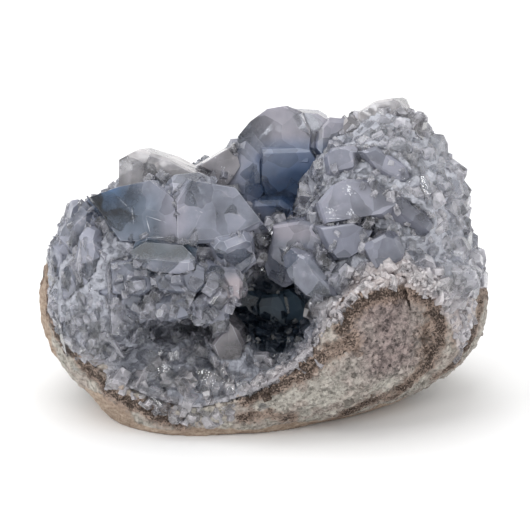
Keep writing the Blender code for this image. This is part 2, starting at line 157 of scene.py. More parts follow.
# %% Patterns of a surface
class Patterns(Nodes):
    """Patterns that a finish can be made from."""

    def __init__(self, name):
        super().__init__(bpy.data.materials.new(name))
        self.place = self.node("ShaderNodeTexCoord", output="Object") * (1 / MM)

    def mask(self, name):
        """A value that the mesh carries at each of its points."""
        return self.node("ShaderNodeAttribute", {"attribute_name": name}, output="Fac")

    def cloud(self, size, detail=2.0, roughness=0.5, place=None, output=0):
        """Soft noise with spots of this size."""
        sockets = {"Vector": place or self.place, "Scale": 1 / size, "Detail": detail, "Roughness": roughness}
        return self.node("ShaderNodeTexNoise", None, sockets, output)

    def cells(self, size, feature="F1", place=None, output=0):
        """Distances or colours of a cell pattern."""
        sockets = {"Vector": place or self.place, "Scale": 1 / size}
        return self.node("ShaderNodeTexVoronoi", {"feature": feature}, sockets, output)

    def drift(self, size, most):
        """The place, shifted here and there by noise, which bends the straight lines of a pattern."""
        return self.place + self.cloud(size, output=1) * most

    def patches(self, size, place):
        """A value for each cell of a pattern, the same all over the cell."""
        return self.node("ShaderNodeSeparateColor", None, {0: self.cells(size, place=place, output=1)})

    def blend(self, share, first, second):
        """Two colours mixed, the second one with this share."""
        return self.node("ShaderNodeMix", {"data_type": "RGBA"}, {0: share, 6: first, 7: second}, 2)

    def near(self, centre, reach):
        """1 around a place, fading to 0 past its reach, which is one distance for each axis."""
        offset = (self.place - centre) * tuple(1 / part for part in reach)
        away = self.node("ShaderNodeVectorMath", {"operation": "LENGTH"}, {0: offset}, "Value")
        return 1 - away.step(0.5, 1.5)

    def rounded(self, width):
        """The direction that the surface would face if its edges were rounded this much."""
        return self.node("ShaderNodeBevel", {"samples": 4}, {"Radius": width * MM})

    def edges(self, width):
        """1 along edges, to this distance from them, and 0 on flat faces."""
        ways = {0: self.rounded(width), 1: self.node("ShaderNodeNewGeometry", output="Normal")}
        likeness = self.node("ShaderNodeVectorMath", {"operation": "DOT_PRODUCT"}, ways, "Value")
        return 1 - likeness.step(0.80, 0.995)


# %% [markdown]
# ## Materials
# Rock needs one Principled shader. Crystal is clear and milky at once, so it needs two that are mixed,
# and an absorption for the way through its body. The class ends a material in either way.

# %% A material
class Look(Patterns):
    """A material that is built from patterns and then closed with its shaders."""

    def bump(self, height, distance, normal=None):
        """Raises the surface by height times this distance."""
        sockets = {"Height": height, "Distance": distance * MM}
        return self.node("ShaderNodeBump", None, {**sockets, "Normal": normal} if normal else sockets)

    def shader(self, **sockets):
        """A Principled shader, its sockets named with _ for a space."""
        named = {key.replace("_", " "): value for key, value in sockets.items()}
        return self.node("ShaderNodeBsdfPrincipled", None, named)

    def close(self, shader):
        """Ends the material with a shader."""
        self.end = self.tree.nodes.new("ShaderNodeOutputMaterial")
        self.tree.links.new(shader.socket, self.end.inputs["Surface"])
        return self.owner

    def finish(self, **sockets):
        """Ends the material with one Principled shader."""
        return self.close(self.shader(**sockets))

    def close_mixed(self, share, first, second):
        """Ends the material with two shaders, the second one with this share of the surface."""
        return self.close(self.node("ShaderNodeMixShader", None, {0: share, 1: first, 2: second}))

    def clear_body(self, colour, density):
        """What light loses on its way through the crystal: absorption per metre."""
        fog = self.node("ShaderNodeVolumeAbsorption", None, {"Color": colour, "Density": density})
        self.tree.links.new(fog.socket, self.end.inputs["Volume"])
        return self.owner


def tint(red, green, blue):
    """A colour as it looks on a screen, 0 to 255, as the linear values that shaders use."""
    shares = (part / 255 for part in (red, green, blue))
    return tuple(((share + 0.055) / 1.055) ** 2.4 if share > 0.04 else share / 12.92 for share in shares)


print("a mid grey on the screen is", round(tint(128, 128, 128)[0], 3), "for a shader")

# %% [markdown]
# ## Measuring the solids
# Everything that this script makes has to sit against the solid model. Search trees over its triangles
# answer the questions that come back all the time: how far is this point from the large crystals or from
# the rock, and what is in the way of a ray? A plain comparison with every triangle would take minutes.

# %% Search trees
def numbers(items, key, width=1, kind=np.float32):
    """One property of all the points or faces of a mesh, as an array with this many columns."""
    found = np.empty(len(items) * width, kind)
    items.foreach_get(key, found)
    return found.reshape(-1, width) if width > 1 else found


def solid(name):
    """Points in millimetres and triangles of a solid."""
    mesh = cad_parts[name].data
    mesh.calc_loop_triangles()
    points = numbers(mesh.vertices, "co", 3).astype(float) / MM
    return points, numbers(mesh.loop_triangles, "vertices", 3, np.int32)


def search_tree(names):
    """A tree over all the triangles of these solids."""
    points, triangles, count = [], [], 0
    for name in names:
        found, corners = solid(name)
        points.append(found)
        triangles.append(corners + count)
        count += len(found)
    return BVHTree.FromPolygons(np.concatenate(points).tolist(), np.concatenate(triangles).tolist())


large_tree = search_tree(LARGE)
rock_tree = search_tree([ROCK])
crust_tree = search_tree([CRUST])
whole_tree = search_tree([ROCK, CRUST] + LARGE)
print("triangles in the trees:", sum(len(solid(name)[1]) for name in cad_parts))


def distances(tree, points, most):
    """How far each point is from the nearest surface in the tree, or this most where it is further."""
    found = (tree.find_nearest(Vector(point), most)[3] for point in points)
    return np.array([most if distance is None else distance for distance in found])


def blocked(point, way, reach):
    """True where a ray from this point meets a solid within its reach."""
    return whole_tree.ray_cast(Vector(point), Vector(way), reach)[0] is not None


# %% Soft steps, bells and noise for arrays of points
def rise(values, low, high):
    """0 below low and 1 above high, smooth between."""
    share = np.clip((values - low) / (high - low), 0, 1)
    return share * share * (3 - 2 * share)


def bell(values, middle, width):
    """1 in the middle, fading out to both sides."""
    return np.exp(-(((values - middle) / width) ** 2))


def blob(points, centre, reach):
    """1 at a place, fading out with distance, with one reach for each axis."""
    return np.exp(-(((points - centre) / reach) ** 2).sum(axis=1))


def noise_at(points, size, seed=0.0):
    """Smooth noise from -1 to 1 with lumps of this size."""
    shift = Vector((seed, 2.7 * seed, 5.1 * seed))
    return np.array([noise.noise(Vector(point) / size + shift) for point in points])


def unit(ways):
    """The same directions with a length of one."""
    return ways / np.linalg.norm(ways, axis=-1, keepdims=True)


# %% [markdown]
# ## Painted shade in the pocket and paleness at the ends
# The photo is darkest in the pocket, where light has to pass many crystals, and palest at the right end,
# at the peak and in the valley. Clear crystal alone doesn't give that much difference in a render, so
# depth and paleness are worked out by place, kept at each point and painted into the colours: the depth
# as painted shade in the pocket, the paleness partly as the crystals' paler colour and partly as painted
# light, above all in the valley, and lower on the front lip as painted shade.

# %% Painted shade and paleness by place
POCKET = np.array((3.0, -13.0, 25.5))
POCKET_REACH = np.array((13.0, 17.0, 10.5))


def painted_shade_depth_of(points):
    """How deep in the dark pocket a point lies, 0 outside to 1; the colours paint shade with it."""
    pocket = np.linalg.norm((points - POCKET) / POCKET_REACH, axis=1)
    return 1 - rise(pocket, 0.75, 1.15)


def paleness_and_painted_light_of(points):
    """Paleness, partly colour and partly painted light, at the right end, peak, valley and foot; painted
    shade on the lip.
    """
    x, _, z = points.T
    pale = np.maximum(rise(x, 8, 40), np.maximum(0.5 * rise(-x, 24, 48), rise(z, 64, 72)))
    pale = np.maximum(pale, blob(points, (3, -7, 43), (10, 13, 16)))
    pale += rise(x, 38, 50) + 0.5 * rise(z, 68, 77) + 0.5 * blob(points, (-14, -38, 6), (24, 12, 6))
    return np.clip(0.38 + 0.6 * pale - 0.25 * blob(points, (-14, -33, 22), (26, 12, 9)), 0, 1.4)


print("room round the pocket's middle:", round(distances(whole_tree, [POCKET], 40.0)[0], 1), "mm")

# %% [markdown]
# ## Fine copies of the rock and the crust
# Weathered rock has no flat facets. Subdividing its solid would keep them and their long thin triangles,
# so the solid is remeshed into even cells under a millimetre and then pushed in and out by noise. The
# push is mostly inwards, because the real stone fits in the solid.

# %% Remeshing, pieces and values on a mesh
WELD_WITHIN = 0.005


def placed(name, data):
    """A new object in the scene."""
    made = bpy.data.objects.new(name, data)
    bpy.context.scene.collection.objects.link(made)
    return made


def modify(thing, kind, **settings):
    """Adds a modifier with these settings."""
    made = thing.modifiers.new(kind.lower(), kind)
    for key, value in settings.items():
        setattr(made, key, value)


def fine_mesh(node, cell):
    """The solid's surface as even cells of this size."""
    copy = placed("fine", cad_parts[node].data.copy())
    copy.data.materials.clear()
    modify(copy, "WELD", merge_threshold=WELD_WITHIN * MM)
    modify(copy, "REMESH", mode="VOXEL", voxel_size=cell * MM, use_smooth_shade=True)
    graph = bpy.context.evaluated_depsgraph_get()
    mesh = bpy.data.meshes.new_from_object(copy.evaluated_get(graph))
    bpy.data.objects.remove(copy)
    return mesh


def arrays_of(mesh):
    """Points in millimetres and the direction in which the surface faces at each."""
    points = numbers(mesh.vertices, "co", 3).astype(float) / MM
    return points, numbers(mesh.vertex_normals, "vector", 3).astype(float)


def set_points(mesh, points):
    mesh.vertices.foreach_set("co", (points * MM).astype(np.float32).ravel())
    mesh.update()


def store(mesh, name, values):
    """Keeps a value at each point of the mesh, for the material to read."""
    layer = mesh.attributes.new(name, "FLOAT", "POINT")
    layer.data.foreach_set("value", values.astype(np.float32))


def new_piece(name, mesh, material, node=None):
    """A piece of the object: it rides on the one body, and may stand for a solid."""
    piece = placed(name, mesh)
    mesh.materials.append(material)
    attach(piece, "root")
    if node:
        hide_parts(node)
    return piece


# %% [markdown]
# ## The brown rind of the rock
# The photo shows a brown rind full of dark specks along the broken edges and in an arch over the bulge at
# the front right. It could be painted by noise alone, but its course is what the eye knows the stone by.
# So it is drawn as strokes on the side of the bowl, which is laid out flat: azimuth across, height up.

# %% Strokes of rind
BOWL_AXIS = np.array((0.25, -3.46))
# Millimetres along the bowl's side for each degree of azimuth
DEGREE = 0.85
# Width and strength of each stroke, then azimuth and height of each point on its way
RIND = (
    (2.8, 1.00, (298, 31), (302, 36), (307, 38.5), (313, 39), (321, 38.5), (327, 35), (333, 29),
     (332, 22), (329, 15), (326, 8)),
    (4.2, 0.80, (329, 26), (331, 16), (324, 9), (309, 5)),
    (3.2, 0.95, (301, 27), (294, 25), (283, 19), (272, 15), (262, 12)),
    (2.6, 0.80, (260, 6), (272, 7), (284, 4)),
    (3.4, 1.00, (194, 23), (202, 19), (209, 14), (214, 10.8), (227, 6.6), (237, 4)),
    (2.0, 0.85, (187, 34), (193, 22)),
    (2.6, 0.65, (338, 24), (340, 20)),
    (3.4, 0.90, (354, 30), (348, 21), (341, 12)),
    (5.5, 0.90, (2, 30), (28, 39), (60, 46), (100, 49), (140, 42), (176, 33)),
)


def turn_of(points):
    """Azimuth about the bowl's axis, 0 to 360 degrees from +X towards +Y."""
    return np.degrees(np.arctan2(points[:, 1] - BOWL_AXIS[1], points[:, 0] - BOWL_AXIS[0])) % 360


def rind_of(points):
    """How brown each point of the rock is, by its distance from the strokes."""
    turn, brown = turn_of(points), np.zeros(len(points))
    for width, strength, *way in RIND:
        for (turn_a, high_a), (turn_b, high_b) in zip(way, way[1:]):
            across = ((turn - turn_a + 180) % 360 - 180) * DEGREE
            above = points[:, 2] - high_a
            run = (turn_b - turn_a) * DEGREE, high_b - high_a
            along = np.clip((across * run[0] + above * run[1]) / (run[0] ** 2 + run[1] ** 2), 0, 1)
            gap = np.hypot(across - along * run[0], above - along * run[1])
            brown = np.maximum(brown, strength * bell(gap, 0, width))
    return brown


print(len(RIND), "strokes of rind")

# %% [markdown]
# ## Where the crystals end
# At the front left the crust ends in a ragged line above the foot, and at the right it ends in a white
# rim over the bulge. The solid's own border between rock and crust is coarser than that, so two lines in
# the same azimuth and height decide it: below them the crust is finished as rock and bears no crystals.

# %% Lower edge of the crystals
LOW_EDGE = ((184, 30), (196, 24.5), (204, 23.5), (210, 21), (213, 16), (222, 9.5), (235, 6), (240, 4),
            (254, 4), (260, 14))
BULGE_EDGE = ((297, 31), (300, 36), (304, 38.5), (311, 40.5), (321, 40), (327, 37), (332, 33), (336, 28),
              (339, 20), (343, 17), (347, 24), (350, 32))
# The bulge's edge counts only further out than this, because the pocket's inner side has the same azimuth
OUTER = 36.0
# The height above the edge where there is none
NO_EDGE = 9.0


def above_edge(points):
    """How far above the lower edge of the crystals a point lies."""
    turn = turn_of(points)
    far = np.hypot(*(points[:, :2] - BOWL_AXIS).T)
    ragged = noise_at(points, 3.0, 31.0)
    height = np.full(len(points), NO_EDGE)
    for edge, wave, inner in ((LOW_EDGE, 1.2, 0), (BULGE_EDGE, 0.7, OUTER)):
        level = np.interp(turn, *np.array(edge, float).T) + wave * ragged
        here = (far > inner) & (turn > edge[0][0]) & (turn < edge[-1][0])
        height = np.where(here, points[:, 2] - level, height)
    return height


def by_bulge(points):
    """True in the range of azimuths that the bulge's edge covers."""
    turn = turn_of(points)
    return (turn > BULGE_EDGE[0][0]) & (turn < BULGE_EDGE[-1][0])


print("the bulge's edge runs from azimuth", BULGE_EDGE[0][0], "to", BULGE_EDGE[-1][0])

# %% [markdown]
# ## The weathered rock
# Besides the rind there is sugary grey-white rock, a smooth beige skin at the left end and along the
# foot, and a pinkish heart in the bulge. Behind, which the photo doesn't show, the rind lies in patches.
# Which is where is a matter of place, so it is worked out for each point. The specks themselves are
# finer than the mesh and come from the shader.

# %% Rock surface
ROCK_CELL = 0.64


def rock_masks(points):
    """Brown rind, smooth skin, heart of the bulge and the white rim over it, each 0 to 1."""
    turn, y, z = turn_of(points), points[:, 1], points[:, 2]
    ragged = 0.22 * noise_at(points, 7.0, 11.0) + 0.2 * noise_at(points, 2.5, 12.0)
    rear = 0.8 * rise(noise_at(points, 24.0, 15.0), -0.05, 0.3) * rise(y, -6, 10)
    left_end = bell(turn, 184, 9) * rise(z, 8, 16)
    left_foot = bell(turn, 207, 16) * (1 - rise(z, 6, 11))
    foot = 1 - rise(z + 2.0 * noise_at(points, 9.0, 13.0), 0.8, 3.5)
    masks = {
        "rind": np.maximum(rind_of(points), rear) + ragged,
        "skin": np.maximum.reduce((left_end, left_foot, foot)) + 0.5 * ragged,
        "heart": bell(turn, 314, 15) * rise(z, 12, 20) + ragged,
        "band": rise(above_edge(points), -0.3, 0.6) * by_bulge(points) * rise(z, 13, 16),
    }
    return {name: np.clip(mask, 0, 1) for name, mask in masks.items()}


def store_rock(mesh, points):
    """Keeps all the values that the rock's finish reads."""
    for name, values in rock_masks(points).items():
        store(mesh, name, values)
    store(mesh, "grain", 0.5 + 0.5 * noise_at(points, 1.0, 14.0))


def rock_mesh():
    mesh = fine_mesh(ROCK, ROCK_CELL)
    points, normals = arrays_of(mesh)
    y, z = points[:, 1], points[:, 2]
    lumps = 0.6 * noise_at(points, 8.0) + 0.45 * noise_at(points, 3.2, 3.0) - 0.4
    low_rear = rise(y, 0, 12) * (1 - rise(z, 14, 28))
    hollows = -2.5 * low_rear * rise(noise_at(points, 15.0, 4.0), -0.1, 0.5)
    pits = -0.7 * rise(noise_at(points, 1.9, 7.0), 0.12, 0.5)
    grain = 0.30 * noise_at(points, 1.1, 5.0)
    above_foot = rise(z, 0.3, 3.0)
    moved = points + normals * (above_foot * (lumps + hollows + pits + grain))[:, None]
    moved[:, 2] = np.maximum(moved[:, 2], 0.0)
    set_points(mesh, moved)
    store_rock(mesh, points)
    print("rock:", len(points), "points")
    return mesh


# %% [markdown]
# ## Finish of the rock
# Up close the rock is a mass of grains, each a little lighter or darker than its neighbours, with dark
# specks of iron and manganese in the rind. One shade is mixed from noise on several scales, every kind of
# ground has its own dark and light end for it, and the masks choose between them. Their borders are
# broken up by the same fine noise, because on stone no border is a clean line.

# %% Rock finish
def rock_look():
    look = Look("weathered rock")
    rind, skin, heart, band, grain = (look.mask(name) for name in ("rind", "skin", "heart", "band", "grain"))
    fine = look.cloud(0.8, 5.0, 0.7)
    specks = look.cloud(0.45, 3.0, 0.6)
    broad = look.cloud(4.5, 3.0)
    streaks = look.cloud(1.0, 3.0, 0.6, look.place * (0.3, 0.3, 1.2))
    lumps = look.patches(1.5, look.drift(2.0, 1.2))
    shade = (grain * 0.8 + fine * 1.7 + lumps * 0.3 - 0.9).step(0.0, 1.0)
    sugar = look.blend(shade, tint(112, 109, 102), tint(204, 199, 190))
    warm_sugar = look.blend(shade, tint(116, 100, 94), tint(196, 182, 174))
    pink = look.blend(shade, tint(54, 46, 46), tint(170, 154, 150))
    beige = look.blend((streaks * 0.4 + fine * 0.6).step(0.35, 0.65), tint(134, 114, 98), tint(190, 172, 155))
    earth = look.blend(shade, tint(82, 64, 54), tint(172, 150, 136))
    white = look.blend(shade, tint(166, 156, 155), tint(214, 206, 205))
    dark = (specks + streaks * 0.15 + broad * 0.3 + rind * 0.36 - 0.30).step(0.70, 0.80)
    colour = look.blend(broad.step(0.42, 0.62) * 0.55, sugar, warm_sugar)
    colour = look.blend(heart, colour, pink)
    colour = look.blend((skin + (fine - 0.5) * 0.6).step(0.4, 0.65), colour, beige)
    colour = look.blend((rind + (fine - 0.5) * 1.1).step(0.15, 0.75) * 0.9, colour, earth)
    colour = look.blend(dark * 0.9, colour, tint(46, 35, 28))
    colour = look.blend(band, colour, white)
    relief = look.bump(fine + look.cells(0.75) * 0.4 - dark * 0.6, 0.4)
    return look.finish(Base_Color=colour, Roughness=0.62 + 0.3 * fine, Normal=relief, Specular_IOR_Level=0.4)


rock_finish = rock_look()
rock = new_piece("weathered_rock", rock_mesh(), rock_finish, ROCK)

# %% [markdown]
# ## The massive band and the ground between the crystals
# Under the crystals the mineral is a solid mass: milky near the rock, bluer inside. Its surface lies a
# little below the solid's, and the small crystals reach up to where the solid is. Beside the large
# crystals it climbs instead, so that they stay bedded in it, and it closes the seam at the rock.

# %% Crust surface
CRUST_CELL = 0.85
CRUST_DROP = 1.1


def milk_of(points):
    """1 in the milky band beside the rock, 0 inside the cluster. It is widest round the bulge."""
    bulge = blob(points, (32, -34, 38), (24, 14, 15))
    bulge = np.maximum(bulge, 0.6 * blob(points, (6, -34, 22), (14, 8, 8)))
    width = 2.2 + 5.5 * bulge
    away = distances(rock_tree, points, 14.0) + 1.6 * noise_at(points, 6.0, 21.0)
    return (0.3 + 0.7 * bulge) * (1 - rise(away / width, 0.45, 1.0))


def crust_mesh():
    mesh = fine_mesh(CRUST, CRUST_CELL)
    points, normals = arrays_of(mesh)
    to_rock = distances(rock_tree, points, 6.0)
    to_large = distances(large_tree, points, 6.0)
    bedded = rise(to_large, 0.6, 3.0) * rise(to_rock, 0.5, 2.0)
    climb = 0.7 * (1 - rise(to_large, 0.4, 2.0))
    seam = 0.25 * (1 - rise(to_rock, 0.4, 1.2))
    drop = CRUST_DROP * (0.8 + 0.5 * noise_at(points, 3.0, 22.0))
    grain = 0.3 * noise_at(points, 1.3, 23.0)
    bare_drop = 0.7 * rise(-above_edge(points), 0.0, 1.5)
    push = seam + climb - bedded * (drop + bare_drop) - np.minimum(bedded + 0.3, 1) * grain
    set_points(mesh, points + normals * push[:, None])
    store(mesh, "milk", milk_of(points))
    store(mesh, "deep", painted_shade_depth_of(points))
    store(mesh, "light", paleness_and_painted_light_of(points))
    store_rock(mesh, points)
    print("crust:", len(points), "points")
    return mesh


# %% [markdown]
# ## Finish of the massive mineral
# Where there are no crystals the mineral is like coarse marble: sugary, white beside the rock and bluer
# inside. Its colour is paler with the paleness, partly painted light, and almost black in the pocket,
# which is painted shade. Square cells in the bump give it the broken blocks that celestite splits into.
# It is too cloudy to see through, so it needs no transmission.

# %% Crust finish
IOR = 1.62


def crust_look():
    look = Look("massive celestite")
    grains = look.cloud(0.8, 5.0, 0.65)
    # Paler with the light mask: partly the mineral's colour, partly painted light, and painted shade on the
    # lip
    blue = look.blend(grains * 0.7 + look.mask("light") * 0.4, tint(88, 93, 107), tint(208, 210, 220))
    white = look.blend(grains.step(0.3, 0.7), tint(156, 147, 146), tint(206, 197, 195))
    white = look.blend(look.cloud(5.0, 3.0).step(0.5, 0.65) * 0.6, white, tint(186, 170, 166))
    colour = look.blend(look.mask("milk"), blue, white)
    # Painted shade: the mineral turns almost black in the pocket
    colour = look.blend(look.mask("deep"), colour, tint(50, 60, 73))
    sockets = {"Vector": look.place, "Scale": 0.6}
    blocks = look.node("ShaderNodeTexVoronoi", {"distance": "CHEBYCHEV"}, sockets)
    relief = look.bump(grains * 0.3 - blocks * 1.5, 1.0)
    return look.finish(Base_Color=colour, Roughness=0.3 + 0.3 * grains, IOR=IOR, Normal=relief)


crust = new_piece("druse_ground", crust_mesh(), crust_look(), CRUST)

# %% [markdown]
# ## Bare rock below the edges
# The crust below its lower edge is weathered like the rock. A mask in the shader would do, but a second
# material on the faces there is simpler, and it is the rock's own finish.

# %% Rock finish on the bare faces of the crust
crust.data.materials.append(rock_finish)
bare = above_edge(arrays_of(crust.data)[0]) < 0
corners = numbers(crust.data.loops, "vertex_index", kind=np.int32)
starts = numbers(crust.data.polygons, "loop_start", kind=np.int32)
crust.data.polygons.foreach_set("material_index", bare[corners[starts]].astype(np.int32))
print("bare faces:", bare[corners[starts]].sum(), "of", len(starts))

# %% [markdown]
# ## Small crystals
# Celestite crystals are blocks: flat sides at right angles, edges cut back by more faces, and a wedge at
# the end. A scaled cube would look like sugar, so one is made by keeping what lies behind a dozen planes,
# and every face is flat, as it grows. Two dozen forms are enough, because each is turned, stretched and
# sunk by its own amount.

# %% Forms
FORMS = 26
SEED = 5406


def corners_behind(normals, reaches):
    """Where three planes meet and no other plane cuts the point off."""
    sets = np.array(list(combinations(range(len(normals)), 3)))
    systems = normals[sets]
    sound = np.abs(np.linalg.det(systems)) > 1e-3
    points = np.linalg.solve(systems[sound], reaches[sets[sound]][..., None])[..., 0]
    return np.unique(np.round(points[(points @ normals.T <= reaches + 1e-6).all(axis=1)], 4), axis=0)


def hull_of(corners):
    """Points and triangles of the closed body that these corners span."""
    shape = bmesh.new()
    hull = bmesh.ops.convex_hull(shape, input=[shape.verts.new(point) for point in corners])
    unused = set(hull["geom_interior"] + hull["geom_unused"]) & set(shape.verts)
    bmesh.ops.delete(shape, geom=list(unused), context="VERTS")
    bmesh.ops.dissolve_limit(shape, angle_limit=math.radians(1), verts=shape.verts, edges=shape.edges)
    bmesh.ops.triangulate(shape, faces=shape.faces)
    shape.verts.index_update()
    points = np.array([vertex.co for vertex in shape.verts])
    triangles = np.array([[vertex.index for vertex in face.verts] for face in shape.faces])
    shape.free()
    return points, triangles


def crystal_form(chance):
    """One crystal, about 1 across, its tip at 0 and its root at -1."""
    planes = [((0, 0, -1), 1.0), ((chance.uniform(-0.2, 0.2), chance.uniform(-0.2, 0.2), 1), 0.0)]
    for turn, reach in ((0, 0.5), (90, 0.42), (180, 0.5), (270, 0.42)):
        # A side, the slope at its top, and the cut of the corner beside it
        angle = math.radians(turn + chance.uniform(-6, 6))
        planes.append(((math.cos(angle), math.sin(angle), 0.06), reach * chance.uniform(0.85, 1.1)))
        slope = chance.uniform(0.35, 1.1)
        planes.append(((math.cos(angle), math.sin(angle), slope), reach * chance.uniform(0.45, 0.95) - 0.1))
        corner = math.radians(turn + 45 + chance.uniform(-10, 10))
        cut = math.cos(corner), math.sin(corner), chance.uniform(0, 0.7)
        planes.append((cut, chance.uniform(0.38, 0.58)))
    normals = np.array([plane[0] for plane in planes], float)
    lengths = np.linalg.norm(normals, axis=1)
    reaches = np.array([plane[1] for plane in planes]) / lengths
    return hull_of(corners_behind(normals / lengths[:, None], reaches))


chance = np.random.default_rng(SEED)
forms = [crystal_form(chance) for _ in range(FORMS)]
print("forms with", sorted(len(triangles) for _, triangles in forms), "triangles")

# %% [markdown]
# ## Where the small crystals stand
# They cover every part of the crust that shows. A particle system would scatter them too, but it doesn't
# know which place is in the open and it isn't exported. So spots are drawn at random, and all that could
# bear a crystal are collected first. Their size follows the photo: middle-sized blocks on the left and
# behind, larger ones high on the right, a finer crust round the pocket and grains like sugar in the band
# beside the rock. Three in ten are small everywhere, to fill what the large ones leave between them.

# %% Random spots
def facets(node):
    """Corners of each triangle of a solid, and its normal, as long as twice the triangle's area."""
    points, triangles = solid(node)
    corners = points[triangles]
    return corners, np.cross(corners[:, 1] - corners[:, 0], corners[:, 2] - corners[:, 0])


def spots_on(node, chance, tries):
    """Random places on a solid, spread evenly over its area, with the direction that each faces."""
    corners, normals = facets(node)
    area = np.linalg.norm(normals, axis=1)
    picked = chance.choice(len(area), tries, p=area / area.sum())
    u, v = chance.random((2, tries, 1))
    flip = u + v > 1
    u, v = np.where(flip, 1 - u, u), np.where(flip, 1 - v, v)
    a, b, c = (corners[picked][:, i] for i in range(3))
    return a + u * (b - a) + v * (c - a), normals[picked] / area[picked][:, None]


# %% How large they grow
SMALLEST, LARGEST = 1.2, 7.5
FILLERS, FILLER_SIZE = 0.3, 0.55
COLUMN_MOST = 3.6
# Places of a finer crust: middle, reach, and how much smaller the largest crystals are there
FINER = (((30, -36, 36), (26, 9, 12), 5.6), ((12, -38, 20), (10, 9, 9), 5.2))


def lift_of(points):
    """How much the crystals turn upwards: they stand in columns on the left flank."""
    return 1.3 * rise(-points[:, 0], 34, 44) * rise(points[:, 2], 18, 28)


def size_of(points, milk, chance):
    """How wide a crystal grows here."""
    x, y, z = points.T
    left, high_right, by_pocket = (x < -8) & (z > 26), (x > 8) & (z > 44), (y < -12) & (z < 31) & (x < 12)
    size = np.select((by_pocket, high_right, left), (3.3, 5.4, 4.8), 4.0)
    size *= np.exp(chance.normal(0, 0.38, len(points)))
    size *= np.where(chance.random(len(points)) < FILLERS, FILLER_SIZE, 1.0)
    size = np.where(lift_of(points) > 0.5, np.minimum(size, COLUMN_MOST), size)
    for centre, reach, less in FINER:
        size = np.minimum(size, LARGEST - less * blob(points, centre, reach))
    size = np.minimum(size, LARGEST - 6.5 * milk)
    return np.clip(size * (1 - 0.45 * milk), SMALLEST, LARGEST)


# %% [markdown]
# ## Corners and gaps between the large crystals
# Where large crystals meet, small ones fill the corner, and some grow right across a gap. A spot on a
# face is in a corner if rays along the face are stopped on some sides and not on the others. It is beside
# a gap if a ray straight out of the face soon meets another crystal. The tall dome stays smooth, as the
# photo shows it.

# %% Corners and gaps
SMOOTH = "back_wall_crystals"
CREVICE_TRIES = 1250
CREVICE_REACH = 1.8
BRIDGED = ("left_bank_crystals", "blue_block_crystals", "right_bank_crystals", "centre_crystals")
BRIDGE_TRIES = 2500
WIDEST_GAP = 3.4
WAY_OUT = 9.0
OFF_FACE = 0.2


def sideways(normals, chance):
    """A random direction at right angles to each of these."""
    return unit(np.cross(normals, chance.normal(0, 1, np.shape(normals))))


def crevices(chance):
    """Places in the corners between large crystals, or at their feet, with a direction out of the corner."""
    found, facing = [], []
    for name in sorted(set(LARGE) - {SMOOTH}):
        for point, normal in zip(*spots_on(name, chance, CREVICE_TRIES)):
            side = sideways(normal, chance)
            ways = [normal * 0.3 + side * math.cos(turn) + np.cross(normal, side) * math.sin(turn)
                    for turn in np.arange(6) * math.tau / 6]
            shut = [blocked(point + normal * OFF_FACE, way, CREVICE_REACH) for way in ways]
            if 2 <= sum(shut) <= 4:
                found.append(point)
                facing.append(normal + 0.35 * sum(way for way, stopped in zip(ways, shut) if not stopped))
    return np.array(found), unit(np.array(facing))


def bridges(chance):
    """Places in the gaps between large crystals, with a direction out of the gap and the crystal's width."""
    found, facing, wide = [], [], []
    for name in BRIDGED:
        for point, normal in zip(*spots_on(name, chance, BRIDGE_TRIES)):
            gap = whole_tree.ray_cast(Vector(point + normal * OFF_FACE), Vector(normal), WIDEST_GAP)[3]
            # Out of a gap is towards the front, a little up and away from the middle
            out = unit(np.array((point[0] / 60, -0.8, 0.4)) + chance.normal(0, 0.25, 3))
            middle = point + normal * (gap or 0) / 2
            if gap and not blocked(middle, out, WAY_OUT):
                found.append(middle)
                facing.append(out)
                wide.append(gap)
    return np.array(found), np.array(facing), 1.2 * np.array(wide) + 1.0


# %% [markdown]
# ## Overgrown faces, the foot and the bulge's rim
# In some places the photo shows clusters of small crystals on the faces of large ones. They are listed.
# At the front left the crystals run down over the rock to the foot, and over the bulge they make the white
# rim, so spots are drawn on the rock there too.

# %% Clusters on larger crystals and on the rock
# The solid, the middle and reach of the cluster, tries and size
OVERGROWN = (
    ("left_bank_crystals", (-24, -31, 34), (20, 7, 6), 3000, 3.6),
    ("left_bank_crystals", (-36, -29, 38), (7, 7, 9), 500, 3.3),
    ("left_flank_crystals", (-47, -21, 38), (12, 12, 10), 700, 3.4),
    ("pale_rear_crystals", (-10.5, -2.8, 60), (5, 5, 5), 200, 2.6),
    ("right_peak_crystals", (38, 1, 71), (6, 8, 5), 350, 2.4),
    ("right_bank_crystals", (17, -22, 49), (6, 8, 4), 500, 2.6),
    ("right_bank_crystals", (32, -17, 63), (6, 6, 4), 600, 2.8),
)
ROCK_TRIES = 60000
FOOT_SIZE, RIM_SIZE = 2.4, 1.9
RIM_LOWEST = 15
RIM_MARGIN = 0.8


def overgrown(chance):
    """Spots on the faces of large crystals."""
    found = []
    for name, centre, reach, tries, size in OVERGROWN:
        points, normals = spots_on(name, chance, tries)
        kept = blob(points, centre, reach) > chance.random(tries)
        wide = size * np.exp(chance.normal(0, 0.3, kept.sum())).clip(0.5, 1.3)
        found.append((points[kept], normals[kept], wide))
    return tuple(np.concatenate(part) for part in zip(*found))


def rock_spots(chance):
    """Spots on the front of the rock: down to the foot at the left, and on the rim over the bulge."""
    points, normals = spots_on(ROCK, chance, ROCK_TRIES)
    turn, z = turn_of(points), points[:, 2]
    foot = (turn > 196) & (turn < 260) & (z > 4) & (z < 24) & (normals[:, 1] < 0.2)
    rim = by_bulge(points) & (z > RIM_LOWEST)
    kept = (foot | rim) & (above_edge(points) > np.where(foot, 0, RIM_MARGIN))
    points, normals, foot = points[kept], normals[kept], foot[kept]
    bare = distances(crust_tree, points, 3.0) > 0.4
    size = np.where(foot, FOOT_SIZE, RIM_SIZE) * np.exp(chance.normal(0, 0.35, len(points)).clip(-1.0, 0.4))
    return points[bare], normals[bare], size[bare]


